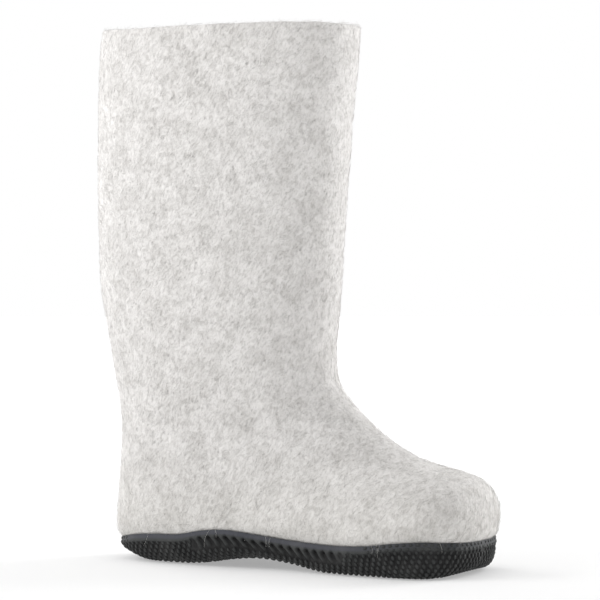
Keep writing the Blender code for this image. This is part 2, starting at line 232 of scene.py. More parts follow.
def evenly(points: np.ndarray, count: int) -> tuple[np.ndarray, np.ndarray]:
    """Lay evenly spaced points on a line of points.

    Args:
        points: The line's points, one a line.
        count: Number of new points.

    Returns:
        The new points, and how far along the line each lies.
    """
    steps = np.linalg.norm(np.diff(points, axis=0), axis=1)
    run = np.concatenate(([0.0], np.cumsum(steps)))
    even = np.linspace(0.0, run[-1], count)
    return np.column_stack([np.interp(even, run, points[:, k]) for k in range(3)]), even


def lumps(points: np.ndarray, size: float, seed: float) -> np.ndarray:
    """Smooth noise from -1 to 1 at points, with lumps of a size, shifted by a seed."""
    shift = Vector((seed, seed * 1.7, seed * 0.6))
    return np.array([noise.noise(Vector(p) / size + shift) for p in points])


# Node trees


class NodeBench:
    """Adds and links nodes in one tree."""

    def __init__(self, tree: bpy.types.NodeTree) -> None:
        """Work on a tree."""
        self.tree = tree

    @staticmethod
    def socket(sockets: bpy.types.NodeInputs, key: str | int) -> Socket:
        """Find a socket by its place, or by its name among those in use.

        Args:
            sockets: The node's inputs or outputs.
            key: Place or name.

        Returns:
            The socket.
        """
        if isinstance(key, int):
            return sockets[key]
        return next(s for s in sockets if s.name == key and s.enabled)

    def feed(self, node: bpy.types.Node, inputs: dict) -> None:
        """Set or link a node's inputs.

        Args:
            node: The node.
            inputs: Values or sockets, by the input's name or place.
        """
        for key, value in inputs.items():
            socket = self.socket(node.inputs, key)
            if isinstance(value, Socket):
                self.tree.links.new(value, socket)
            elif socket.type == "RGBA":
                socket.default_value = (*value[:3], 1.0)
            else:
                socket.default_value = value

    def add(self, kind: str, inputs: dict | None = None, **settings: object) -> bpy.types.Node:
        """Add a node.

        Args:
            kind: The node's type.
            inputs: Values or sockets for its inputs, by name or place.
            **settings: The node's own properties.

        Returns:
            The node.
        """
        node = self.tree.nodes.new(kind)
        for key, value in settings.items():
            setattr(node, key, value)
        self.feed(node, inputs or {})
        return node

    def out(
        self, kind: str, inputs: dict | None = None, key: str | int = 0, **settings: object
    ) -> Socket:
        """Add a node and give one of its outputs, by name or place."""
        return self.socket(self.add(kind, inputs, **settings).outputs, key)

    def math(self, operation: str, a: Socket | float, b: Socket | float = 0.0) -> Socket:
        """Add a Math node on one or two values and give its result."""
        return self.out("ShaderNodeMath", {0: a, 1: b}, operation=operation)

    def line(self, value: Socket, slope: float, start: float) -> Socket:
        """Give start and slope times a value, added up."""
        return self.math("ADD", self.math("MULTIPLY", value, slope), start)

    def weigh(self, terms: Iterable[tuple[Socket, float]]) -> Socket:
        """Add up values, each times its weight.

        Args:
            terms: Each value and its weight.

        Returns:
            The sum.
        """
        total, *rest = [self.math("MULTIPLY", value, weight) for value, weight in terms]
        for part in rest:
            total = self.math("ADD", total, part)
        return total

    def band(self, value: Socket, low: float, high: float, top: float = 1.0) -> Socket:
        """Map a value softly from low and high to 0 and top."""
        inputs = {"Value": value, "From Min": low, "From Max": high, "To Max": top}
        return self.out("ShaderNodeMapRange", inputs, interpolation_type="SMOOTHSTEP")

    def mix(self, share: Socket | float, a: Socket | tuple, b: Socket | tuple) -> Socket:
        """Mix two colours by a share and give the result."""
        return self.add("ShaderNodeMix", {0: share, 6: a, 7: b}, data_type="RGBA").outputs[2]

    def trait(self, name: str) -> Socket:
        """Read a value that is kept at the points."""
        return self.out("ShaderNodeAttribute", key="Fac", attribute_name=name)

    def bump(self, height: Socket, distance: float, strength: float) -> Socket:
        """Turn a height into a normal."""
        inputs = {"Height": height, "Distance": distance, "Strength": strength}
        return self.out("ShaderNodeBump", inputs)

    def chance(self, kind: str, low: object, high: object, seed: int) -> Socket:
        """Give a random value of a data type, from low to high, by a fixed seed."""
        inputs = {"Min": low, "Max": high, "Seed": seed}
        return self.out("FunctionNodeRandomValue", inputs, "Value", data_type=kind)

    def aim(self, up: Socket, along: Socket) -> Socket:
        """Give the turn that points Z up and X along.

        Args:
            up: Direction for Z.
            along: Direction for X, as near as Z leaves it.

        Returns:
            The turn.
        """
        upright = self.out("FunctionNodeAlignRotationToVector", {"Vector": up}, axis="Z")
        inputs = {"Rotation": upright, "Vector": along}
        return self.out("FunctionNodeAlignRotationToVector", inputs, axis="X", pivot_axis="Z")

    def store(self, shape: Socket, name: str, value: Socket, domain: str) -> Socket:
        """Keep a value on a shape.

        Args:
            shape: The shape.
            name: The attribute's name.
            value: The value.
            domain: What each value belongs to.

        Returns:
            The shape with its values.
        """
        inputs = {"Geometry": shape, "Name": name, "Value": value}
        kind = "GeometryNodeStoreNamedAttribute"
        return self.out(kind, inputs, data_type="FLOAT", domain=domain)

    def speckle(self, where: Socket, scale: float, detail: float, roughness: float = 0.55) -> Socket:
        """Add a Noise texture, with this many lumps in a metre, and give its value."""
        inputs = {"Vector": where, "Scale": scale, "Detail": detail, "Roughness": roughness}
        return self.out("ShaderNodeTexNoise", inputs, "Fac")


def new_group(
    name: str, kind: str, inputs: dict[str, object], outputs: dict[str, str]
) -> tuple[NodeBench, bpy.types.NodeOutputs, bpy.types.Node]:
    """Make a node group with named sockets.

    Args:
        name: The group's name.
        kind: Type of its tree.
        inputs: Default of each input, by name, or its type where it has no default.
        outputs: Type of each output, by name.

    Returns:
        A bench on the tree, what the group is given, and its output node.
    """
    tree = bpy.data.node_groups.new(name, kind)
    sorts = {float: "Float", int: "Int", tuple: "Color"}
    for label, default in inputs.items():
        sort = sorts.get(type(default), default)
        socket = tree.interface.new_socket(
            name=label, in_out="INPUT", socket_type=f"NodeSocket{sort}"
        )
        if sort != default:
            socket.default_value = default
    for label, sort in outputs.items():
        tree.interface.new_socket(name=label, in_out="OUTPUT", socket_type=f"NodeSocket{sort}")
    bench = NodeBench(tree)
    return bench, bench.add("NodeGroupInput").outputs, bench.add("NodeGroupOutput")


def new_material(name: str) -> tuple[bpy.types.Material, NodeBench, bpy.types.Node]:
    """Make a material.

    Args:
        name: Its name.

    Returns:
        The material, a bench on its tree, and its shader.
    """
    material = bpy.data.materials.new(name)
    material.use_nodes = True
    tree = material.node_tree
    return material, NodeBench(tree), tree.nodes["Principled BSDF"]


def grown(
    carrier: bpy.types.Object, tree: bpy.types.NodeTree, inputs: dict, name: str
) -> bpy.types.Object:
    """Run a Geometry Nodes tree on a carrier and keep the result as a plain mesh.

    Args:
        carrier: The object that the tree works on. It is removed.
        tree: The tree.
        inputs: Values for its inputs, by name.
        name: Name of the result.

    Returns:
        An object with the finished mesh.
    """
    modifier = carrier.modifiers.new("grow", "NODES")
    modifier.node_group = tree
    for item in tree.interface.items_tree:
        if item.in_out == "INPUT" and item.name in inputs:
            modifier[item.identifier] = inputs[item.name]
    graph = bpy.context.evaluated_depsgraph_get()
    mesh = bpy.data.meshes.new_from_object(
        carrier.evaluated_get(graph), preserve_all_data_layers=True, depsgraph=graph
    )
    mesh.name = name
    bpy.data.objects.remove(carrier, do_unlink=True)
    obj = bpy.data.objects.new(name, mesh)
    bpy.context.scene.collection.objects.link(obj)
    return obj


# Forms, the same as the solids'


@dataclass(frozen=True)
class FeltForm:
    """Outer form of the felt, from the collar to the toe's tip. Metres."""

    foot_length: float = 0.2655
    heel_width: float = 0.0840
    ball_width: float = 0.1010
    toe_height: float = 0.0633
    throat_height: float = 0.1290
    boot_height: float = 0.3530
    shaft_depth: float = 0.1815
    shaft_width: float = 0.1080
    ankle_depth: float = 0.1525
    ankle_width: float = 0.0930
    back_lean: float = 0.0146
    collar_sag: float = 0.0022
    tip_height: float = 0.0310
    heel_rest_place: float = 0.17
    shaft_wall: float = 0.0052
    foot_wall: float = 0.0070
    collar_round: float = 0.0014
    sole_thickness: float = 0.0090
    arch_rise: float = 0.0060
    cap_top_slope: float = -0.30
    cap_bottom_slope: float = 0.02
    cap_bottom_shift: float = 0.011
    cap_top_square: float = 2.3
    cap_bottom_square: float = 2.8
    cap_plan_square: float = 2.8
    upper_half_square: float = 2.2
    shaft_square: float = 2.2
    turns: int = 361
    # points in half a ring, rings a step and rings in the toe, where rays are to meet it
    ray_grid: tuple = (49, 6, 24)
    # front and back height, lean, depth, width, sag, as shares
    shaft_rows: tuple = (
        (0.994, 1.002, 0.75, 1.00, 1.00, 1.0),
        (0.920, 0.949, 0.89, 1.04, 1.00, 0.5),
        (0.763, 0.850, 0.97, 0.96, 1.00, 0.0),
        (0.585, 0.737, 1.00, 0.86, 0.94, 0.0),
        (0.406, 0.623, 0.98, 0.74, 0.80, 0.0),
        (0.254, 0.521, 0.87, 0.62, 0.60, 0.0),
        (0.138, 0.428, 0.50, 0.36, 0.40, 0.0),
        (0.058, 0.346, 0.10, 0.11, 0.20, 0.0),
        (0.000, 0.278, -0.14, 0.00, 0.00, 0.0),
    )
    # reach, top, under, rise, arch and width as shares, then square and widest
    foot_rows: tuple = (
        (0.022, 0.875, 0.015, 0.507, 0.00, 0.30, 2.50, 0.50),
        (0.057, 0.775, 0.010, 0.320, 0.00, 0.20, 2.60, 0.50),
        (0.105, 0.684, 0.005, 0.172, 0.00, 0.12, 2.70, 0.49),
        (0.162, 0.594, 0.007, 0.066, 0.00, 0.06, 2.80, 0.48),
        (0.226, 0.495, 0.045, 0.010, 0.00, 0.00, 2.80, 0.46),
        (0.294, 0.397, 0.125, 0.000, 0.00, 0.00, 2.90, 0.44),
        (0.372, 0.308, 0.207, 0.000, 0.05, 0.00, 2.90, 0.42),
        (0.446, 0.232, 0.290, 0.000, 0.32, 0.06, 2.90, 0.41),
        (0.519, 0.168, 0.369, 0.000, 0.80, 0.18, 2.90, 0.40),
        (0.590, 0.118, 0.448, 0.000, 1.00, 0.35, 2.90, 0.40),
        (0.657, 0.083, 0.527, 0.000, 0.78, 0.58, 2.90, 0.40),
        (0.722, 0.051, 0.603, 0.000, 0.36, 0.82, 2.90, 0.40),
        (0.784, 0.026, 0.678, 0.000, 0.07, 0.98, 2.90, 0.40),
        (0.840, 0.000, 0.754, 0.000, 0.00, 1.00, 2.90, 0.41),
    )

    @property
    def heel_setback(self) -> float:
        """Distance of the origin from the heel's back."""
        return self.foot_length * self.heel_rest_place

    @staticmethod
    def between(low: float, high: float, share: float) -> float:
        """Give the value at a share of the way from low to high."""
        return low + (high - low) * share

    def shaft_section(self, row: tuple) -> tuple:
        """Work out a section of the shaft.

        Args:
            row: A row of shaft_rows.

        Returns:
            Front x and z, back x and z, half width, squareness, widest place and sag.
        """
        front, back, lean, depth, width, sag = row
        back_x = -self.back_lean * lean
        front_x = back_x + self.between(self.ankle_depth, self.shaft_depth, depth)
        front_z = self.between(self.throat_height, self.boot_height, front)
        half = self.between(self.ankle_width, self.shaft_width, width) / 2
        drop = self.collar_sag * sag
        return (front_x, front_z, back_x, self.boot_height * back, half, self.shaft_square, 0.5, drop)

    def foot_section(self, row: tuple) -> tuple:
        """Work out a section of the foot, as the same eight values.

        Args:
            row: A row of foot_rows.

        Returns:
            The section's values.
        """
        reach, top, under, rise, arch, width, square, widest = row
        shin_x = self.shaft_section(self.shaft_rows[-1])[0]
        top_x = self.between(shin_x, self.foot_length, reach)
        top_z = self.between(self.toe_height, self.throat_height, top)
        under_z = self.sole_thickness + self.throat_height * rise + self.arch_rise * arch
        half = self.between(self.heel_width, self.ball_width, width) / 2
        return (top_x, top_z, self.foot_length * under, under_z, half, square, widest, 0.0)

    def sections(self) -> np.ndarray:
        """List the sections from collar to toe, one a line."""
        shaft = [self.shaft_section(row) for row in self.shaft_rows]
        return np.array(shaft + [self.foot_section(row) for row in self.foot_rows])

    @staticmethod
    def on_curve(sections: np.ndarray, place: float) -> np.ndarray:
        """Follow the smooth curve through the sections.

        Args:
            sections: The rows.
            place: A place between two rows.

        Returns:
            The section there.
        """
        last = len(sections) - 1
        i = min(int(place), last - 1)
        t = place - i
        p1, p2 = sections[i], sections[i + 1]
        p0 = sections[i - 1] if i > 0 else 2 * p1 - p2
        p3 = sections[i + 2] if i + 2 <= last else 2 * p2 - p1
        bend = 2 * p0 - 5 * p1 + 4 * p2 - p3
        twist = -p0 + 3 * p1 - 3 * p2 + p3
        return 0.5 * (2 * p1 + (p2 - p0) * t + bend * t * t + twist * t**3)

    def cap_section(self, start: np.ndarray, angle: float) -> np.ndarray:
        """Work out a section of the toe's round end.

        Args:
            start: The foot's last section.
            angle: From 0 at that section to a quarter turn at the tip.

        Returns:
            The section's values.
        """
        fade, rise = max(math.cos(angle), 0.0), math.sin(angle)
        tip = np.array((self.foot_length, self.tip_height))
        top_run = tip[0] - start[0]
        under_run = tip[0] - start[2] - self.cap_bottom_shift * self.foot_length
        ends = []
        for point, run, slope, square in (
            (start[0:2], top_run, self.cap_top_slope, self.cap_top_square),
            (start[2:4], under_run, self.cap_bottom_slope, self.cap_bottom_square),
        ):
            centre = tip - np.array((1.0, slope)) * run
            ahead = (tip - centre) * rise ** (2 / square)
            ends.append(centre + (point - centre) * fade ** (2 / square) + ahead)
        half = start[4] * fade ** (2 / self.cap_plan_square)
        widest = self.between(start[6], 0.5, rise)
        return np.array((*ends[0], *ends[1], half, start[5], widest, 0.0))

    def half_ring(self, section: np.ndarray, count: int) -> np.ndarray:
        """Lay evenly spaced points on a section's right half, front to back.

        Args:
            section: The section's values.
            count: Number of points.

        Returns:
            The points, one a line.
        """
        turns = np.linspace(0.0, math.pi, self.turns)
        c, s = np.cos(turns), np.maximum(np.sin(turns), 0.0)
        s[-1] = 0.0
        top, under = section[0:2], section[2:4]
        half, square, widest, sag = section[4:8]
        middle = under + (top - under) * widest
        power = np.where(c > 0, 2 / self.upper_half_square, 2 / square)
        aim = np.where((c > 0)[:, None], top - middle, under - middle)
        xz = middle + aim * (np.abs(c) ** power)[:, None]
        z = xz[:, 1] - sag * s * s * (1 - c) / SAG_PEAK
        points = np.column_stack((xz[:, 0] - self.heel_setback, -half * s**power, z))
        return evenly(points, count)[0]

    def rings(self, count: int, rows_between: int, cap_rings: int) -> np.ndarray:
        """Lay the felt's outer surface as closed rings from collar to toe tip.

        Args:
            count: Points in half a ring, both ends counted.
            rows_between: Rings for each step of the tables.
            cap_rings: Rings in the toe's round end.

        Returns:
            The points, as rings x points x 3.
        """
        sections = self.sections()
        places = np.linspace(0, len(sections) - 1, (len(sections) - 1) * rows_between + 1)
        chosen = [self.on_curve(sections, place) for place in places]
        angles = np.linspace(0, math.pi / 2, cap_rings + 1)[1:]
        chosen += [self.cap_section(sections[-1], angle) for angle in angles]
        return both_halves(np.array([self.half_ring(section, count) for section in chosen]))

    def wall_at(self, height: np.ndarray) -> np.ndarray:
        """Give the felt's thickness at heights: thinner up the shaft."""
        share = np.clip((height - self.throat_height) / (self.boot_height - self.throat_height), 0, 1)
        return self.foot_wall + (self.shaft_wall - self.foot_wall) * share

    def tree(self) -> BVHTree:
        """Make the outer surface ready to be met by rays.

        Returns:
            The surface, as a tree of its faces.
        """
        rings = self.rings(*self.ray_grid)
        faces = grid_faces(rings.shape[0], rings.shape[1], True)
        return BVHTree.FromPolygons([Vector(p) for p in rings.reshape(-1, 3)], faces)


@dataclass
class SoleForm:
    """Outer form of the rubber sole, round the felt. Metres."""

    felt: FeltForm
    edge_height: float = 0.0190
    lip: float = 0.0010
    side: float = 0.0026
    band_height: float = 0.0044
    side_round: float = 0.0150
    rib_lean: float = 0.60
    gap: float = 0.0003
    spine_heel: float = 0.150
    spine_toe: float = 0.800
    edge_points: int = 481
    edge_rounds: int = 4
    # place, then edge, side, lift and round as shares, then square
    rows: tuple = (
        (-0.02, 0.67, 0.35, 0.95, 1.70, 2.0),
        (0.04, 0.80, 0.45, 0.40, 1.50, 2.1),
        (0.10, 0.95, 0.80, 0.00, 1.20, 2.3),
        (0.16, 1.02, 1.00, 0.00, 1.00, 2.5),
        (0.23, 1.05, 1.00, 0.00, 1.00, 2.6),
        (0.30, 1.23, 1.00, 0.25, 1.00, 2.6),
        (0.37, 1.31, 1.00, 0.75, 1.00, 2.6),
        (0.44, 1.22, 1.00, 1.00, 1.00, 2.6),
        (0.53, 1.08, 1.00, 0.65, 1.00, 2.9),
        (0.64, 1.00, 1.00, 0.00, 1.00, 3.6),
        (0.76, 1.04, 1.00, 0.00, 1.00, 4.2),
        (0.85, 1.20, 1.00, 0.00, 1.00, 4.2),
        (0.92, 1.25, 0.85, 0.00, 0.90, 3.8),
        (0.97, 1.20, 0.40, 0.20, 0.90, 2.8),
        (1.02, 1.12, 0.10, 0.70, 1.10, 2.2),
    )
    # angle on the lower side's rounding, and the share of the lean used up there
    lean_steps: tuple = ((0, 0.0), (8, 0.30), (27, 0.55), (45, 0.72), (64, 0.90), (90, 1.0))
    edge: dict = field(default_factory=dict, repr=False)

    def values(self, x: np.ndarray) -> tuple[np.ndarray, ...]:
        """Read the table at places along the foot.

        Args:
            x: The places, from the origin.

        Returns:
            Height of the edge, how far the side stands out, height of the bottom, how
            far in the rounding reaches, and its exponent.
        """
        table = np.array(self.rows)
        place = (np.asarray(x, float) + self.felt.heel_setback) / self.felt.foot_length
        i = np.clip(np.searchsorted(table[:, 0], place) - 1, 0, len(table) - 2)
        slopes = np.gradient(table[:, 1:], table[:, 0], axis=0)
        run = (table[i + 1, 0] - table[i, 0])[..., None]
        t = np.clip((place - table[i, 0])[..., None] / run, 0.0, 1.0)
        line = (2 * t**3 - 3 * t**2 + 1) * table[i, 1:] + (3 * t**2 - 2 * t**3) * table[i + 1, 1:]
        turn = (t**3 - 2 * t**2 + t) * slopes[i] + (t**3 - t**2) * slopes[i + 1]
        v = line + turn * run
        bottom = self.felt.arch_rise * np.maximum(v[..., 2], 0.0)
        edge, side = self.edge_height * v[..., 0], self.side * v[..., 1]
        return edge, side, bottom, self.side_round * v[..., 3], v[..., 4]

    def spine_pose(self, travel: np.ndarray) -> tuple[np.ndarray, np.ndarray, np.ndarray]:
        """Find the foot of a half section on the spine, and its heading.

        Args:
            travel: 0 to 1 round the heel, 1 to 2 along the foot, 2 to 3 round the toe.

        Returns:
            Place on the spine, and the heading's x and y.
        """
        heel = self.spine_heel * self.felt.foot_length - self.felt.heel_setback
        toe = self.spine_toe * self.felt.foot_length - self.felt.heel_setback
        turn = np.minimum(travel, 1.0) + np.maximum(travel - 2.0, 0.0)
        x = heel + (toe - heel) * np.clip(travel - 1.0, 0.0, 1.0)
        return x, -np.cos(turn * math.pi / 2), -np.sin(turn * math.pi / 2)

    def trace_edge(self, tree: BVHTree) -> None:
        """Follow the line where the sole's top edge meets the felt, heel to toe.

        Args:
            tree: The felt's outer surface.
        """
        travel = np.linspace(0.0, 3.0, self.edge_points)
        x, hx, hy = self.spine_pose(travel)
        reach, met = np.zeros_like(x), np.copy(x)
        height = np.full_like(x, self.edge_height)
        for _ in range(self.edge_rounds):
            height = self.values(met)[0]
            for i, z in enumerate(height):
                start = Vector((x[i], 0.0, z))
                reach[i] = (tree.ray_cast(start, Vector((hx[i], hy[i], 0.0)))[0] - start).length
            met = x + hx * reach
        points = np.column_stack((met, hy * reach, height))
        steps = np.linalg.norm(np.diff(points, axis=0), axis=1)
        run = np.concatenate(([0.0], np.cumsum(steps)))
        self.edge = {"run": run, "travel": travel, "reach": reach, "met": met, "height": height}

    @property
    def total(self) -> float:
        """Length of the edge along one side."""
        return float(self.edge["run"][-1])

    def at(self, length: np.ndarray) -> dict[str, np.ndarray]:
        """Read the edge at lengths along it.

        Args:
            length: Distances from the heel's back.

        Returns:
            Spine place, heading, reach, place along the foot and height of the edge.
        """
        read = {key: np.interp(length, self.edge["run"], self.edge[key]) for key in self.edge}
        read["x"], read["hx"], read["hy"] = self.spine_pose(read["travel"])
        return read

    def lean(self, length: np.ndarray) -> np.ndarray:
        """Give how far the ribs at a length lean to the toe by the time they are down."""
        return self.rib_lean * self.edge_height * np.sin(math.pi * length / self.total)

    def band_points(self, length: np.ndarray, share: float) -> np.ndarray:
        """Lay points on the smooth band under the edge.

        Args:
            length: Places along the edge.
            share: 0 at the lip, 1 at the band's lower edge.

        Returns:
            The points.
        """
        e = self.at(length)
        side = self.values(e["met"])[1]
        low = self.lip * side / self.side
        out = e["reach"] + self.gap + low + (side - low) * share
        x, y = e["x"] + e["hx"] * out, e["hy"] * out
        return np.column_stack((x, y, e["height"] - self.band_height * share))

    def side_points(self, length: np.ndarray, angle: float) -> np.ndarray:
        """Lay points on the lower side.

        Args:
            length: Places along the edge, before the lean.
            angle: From 0 under the band to 90 degrees at the bottom.

        Returns:
            The points.
        """
        angles, shares = zip(*self.lean_steps)
        e = self.at(length + self.lean(length) * np.interp(angle, angles, shares))
        height, side, bottom, rounding, square = self.values(e["met"])
        c, s = max(math.cos(math.radians(angle)), 0.0), math.sin(math.radians(angle))
        out = e["reach"] + self.gap + side - rounding + rounding * c ** (2 / square)
        top = height - self.band_height
        z = top - (top - bottom) * s ** (2 / square)
        return np.column_stack((e["x"] + e["hx"] * out, e["hy"] * out, z))

    def bottom_points(self, length: np.ndarray, share: float) -> np.ndarray:
        """Lay points on the bottom.

        Args:
            length: Places along the edge, before the lean.
            share: 1 at the side's rounding, 0 at the spine.

        Returns:
            The points.
        """
        e = self.at(length + self.lean(length))
        _, side, _, rounding, _ = self.values(e["met"])
        out = (e["reach"] + self.gap + side - rounding) * share
        x = e["x"] + e["hx"] * out
        return np.column_stack((x, e["hy"] * out, self.values(x)[2]))


# Finishes


@dataclass(frozen=True)
class WoolLook:
    """Colours of the grey felt, and how mottled it is."""

    name: str
    light: Colour = (0.840, 0.822, 0.806)
    middle: Colour = (0.545, 0.528, 0.508)
    fleck: Colour = (0.270, 0.262, 0.256)
    # a warmer, darker tint that the felt takes towards the bottom
    hem: Colour = (0.640, 0.622, 0.570)
    mottle: float = 0.90
    flecks: float = 0.45
    relief: float = 0.0003
    own_shade: float = 0.0
    paler_span: tuple = (0.35, 0.0)
    darker_span: tuple = (0.86, 1.0)
    roughness: float = 0.95
    gloss: float = 0.25
    sheen: float = 0.22
    sheen_spread: float = 0.5
    relief_strength: float = 0.8
    hem_span: tuple = (0.085, 0.020)
    hem_share: float = 0.25

    @staticmethod
    @cache
    def mottle_group() -> bpy.types.NodeTree:
        """Make the shared group of felted wool.

        Returns:
            The group, which puts out a colour and a height.
        """
        bench, given, result = new_group(
            "felted_wool",
            "ShaderNodeTree",
            {
                "Vector": "Vector",
                "Light": (0.8, 0.8, 0.8, 1),
                "Middle": (0.6, 0.6, 0.6, 1),
                "Fleck": (0.3, 0.3, 0.3, 1),
                "Mottle": 0.7,
                "Flecks": 0.5,
            },
            {"Color": "Color", "Height": "Float"},
        )
        where, vector = given["Vector"], "ShaderNodeVectorMath"
        scale, reach = WOOL_WANDER
        wander = {"Vector": where, "Scale": scale, "Detail": 2.0}
        shift = bench.out("ShaderNodeTexNoise", wander, "Color")
        shift = bench.out(vector, {0: shift, 1: (0.5, 0.5, 0.5)}, operation="SUBTRACT")
        shift = bench.out(vector, {0: shift, "Scale": reach}, operation="SCALE")
        bent = bench.out(vector, {0: where, 1: shift}, operation="ADD")
        lay = {"Vector": bent, "Rotation": (0.0, WOOL_SLANT, 0.0), "Scale": WOOL_DRAWN}
        drawn = bench.out("ShaderNodeMapping", lay, vector_type="TEXTURE")
        places = {"clouds": where, "blotches": bent, "strands": drawn, "dark": drawn}
        share = {}
        for layer, (scale, detail, roughness, low, high) in WOOL_LAYERS.items():
            speckle = bench.speckle(places[layer], scale, detail, roughness)
            share[layer] = bench.band(speckle, low, high)
        blotches, strands = share["blotches"], share["strands"]
        fine = bench.speckle(bent, *WOOL_FINE)
        cover = bench.weigh(zip((share["clouds"], blotches, strands), WOOL_COVER))
        cover = bench.math("MULTIPLY", cover, given["Mottle"])
        gather = bench.line(blotches, *WOOL_GATHER)
        spots = bench.math("MULTIPLY", share["dark"], gather)
        spots = bench.math("MULTIPLY", spots, given["Flecks"])
        colour = bench.mix(cover, given["Light"], given["Middle"])
        colour = bench.mix(spots, colour, given["Fleck"])
        height = bench.weigh(zip((strands, fine, blotches), WOOL_HEIGHTS))
        bench.feed(result, {"Color": colour, "Height": height})
        return bench.tree

    def material(self) -> bpy.types.Material:
        """Make the material, on the object's own coordinates.

        Returns:
            The material.
        """
        material, bench, shader = new_material(self.name)
        where = bench.out("ShaderNodeTexCoord", key="Object")
        given = {"Vector": where}
        for key in ("light", "middle", "fleck", "mottle", "flecks"):
            given[key.title()] = getattr(self, key)
        wool = bench.add("ShaderNodeGroup", given, node_tree=self.mottle_group())
        height = bench.out("ShaderNodeSeparateXYZ", {0: where}, 2)
        # warmer and darker towards the bottom
        hem = bench.band(height, *self.hem_span, self.hem_share)
        colour = bench.mix(hem, wool.outputs["Color"], self.hem)
        if self.own_shade:
            shade = bench.trait("shade")
            paler = bench.band(shade, *self.paler_span, self.own_shade)
            darker = bench.band(shade, *self.darker_span, self.own_shade)
            colour = bench.mix(paler, colour, self.light)
            colour = bench.mix(darker, colour, self.fleck)
        finish = {
            "Base Color": colour,
            "Normal": bench.bump(wool.outputs["Height"], self.relief, self.relief_strength),
            "Roughness": self.roughness,
            "Specular IOR Level": self.gloss,
            "Sheen Weight": self.sheen,
            "Sheen Roughness": self.sheen_spread,
        }
        bench.feed(shader, finish)
        return material


@dataclass(frozen=True)
class RubberLook:
    """Colours of the moulded rubber: painted shade in the recesses, the rubber's tone on raised
    places, a painted reflection on the band, and its dust.
    """

    name: str = "moulded_rubber"
    # painted shade: the near-black colour given to the recesses, the low ground between nubs and the
    # nubs' lower sides
    deep: Colour = (0.0045, 0.0045, 0.0048)
    raised: Colour = (0.034, 0.036, 0.036)
    # painted reflection: the lighter blue-grey given to the smooth band, which faces slightly upwards
    band: Colour = (0.052, 0.054, 0.066)
    dust: Colour = (0.42, 0.42, 0.41)
    film: float = 0.10
    specks: float = 0.8
    roughness: tuple = (0.25, 0.42)
    relief: float = 0.0003
    relief_strength: float = 0.7
    gloss: float = 0.28

    @staticmethod
    @cache
    def dust_group() -> bpy.types.NodeTree:
        """Make the shared group of dust: a thin film and sparse specks.

        Returns:
            The group, which puts out the dust's share and its grain.
        """
        bench, given, result = new_group(
            "dust",
            "ShaderNodeTree",
            {"Vector": "Vector", "Film": 0.1, "Specks": 1.0},
            {"Share": "Float", "Grain": "Float"},
        )
        where = given["Vector"]
        scale, detail, roughness, low, high = DUST_PATCHES
        patches = bench.band(bench.speckle(where, scale, detail, roughness), low, high)
        grain = bench.speckle(where, *DUST_GRAIN)
        film = bench.math("MULTIPLY", bench.math("MULTIPLY", patches, grain), given["Film"])
        inputs = {"Vector": where, "Scale": SPECK_SCALE, "Randomness": 1.0}
        cells = bench.add("ShaderNodeTexVoronoi", inputs)
        near = bench.band(cells.outputs["Distance"], *SPECK_EDGE)
        pick = bench.out("ShaderNodeSeparateColor", {"Color": cells.outputs["Color"]}, 0)
        chosen = bench.math("GREATER_THAN", pick, SPECK_RARITY)
        specks = bench.math("MULTIPLY", bench.math("MULTIPLY", near, chosen), given["Specks"])
        bench.feed(result, {"Share": bench.math("MAXIMUM", film, specks), "Grain": grain})
        return bench.tree

    def material(self) -> bpy.types.Material:
        """Make the material: painted shade darkens what is not raised, and a painted reflection
        lightens the band.

        Returns:
            The material.
        """
        material, bench, shader = new_material(self.name)
        where = bench.out("ShaderNodeTexCoord", key="Object")
        inputs = {"Vector": where, "Film": self.film, "Specks": self.specks}
        dust = bench.add("ShaderNodeGroup", inputs, node_tree=self.dust_group()).outputs
        # painted shade: places that are not raised take the near-black colour
        colour = bench.mix(bench.trait("raised"), self.deep, self.raised)
        # painted reflection: the band takes its lighter blue-grey colour
        colour = bench.mix(bench.trait("band"), colour, self.band)
        finish = {
            "Base Color": bench.mix(dust["Share"], colour, self.dust),
            "Roughness": bench.line(dust["Grain"], *self.roughness),
            "Normal": bench.bump(dust["Grain"], self.relief, self.relief_strength),
            "Specular IOR Level": self.gloss,
        }
        bench.feed(shader, finish)
        return material


# Pieces


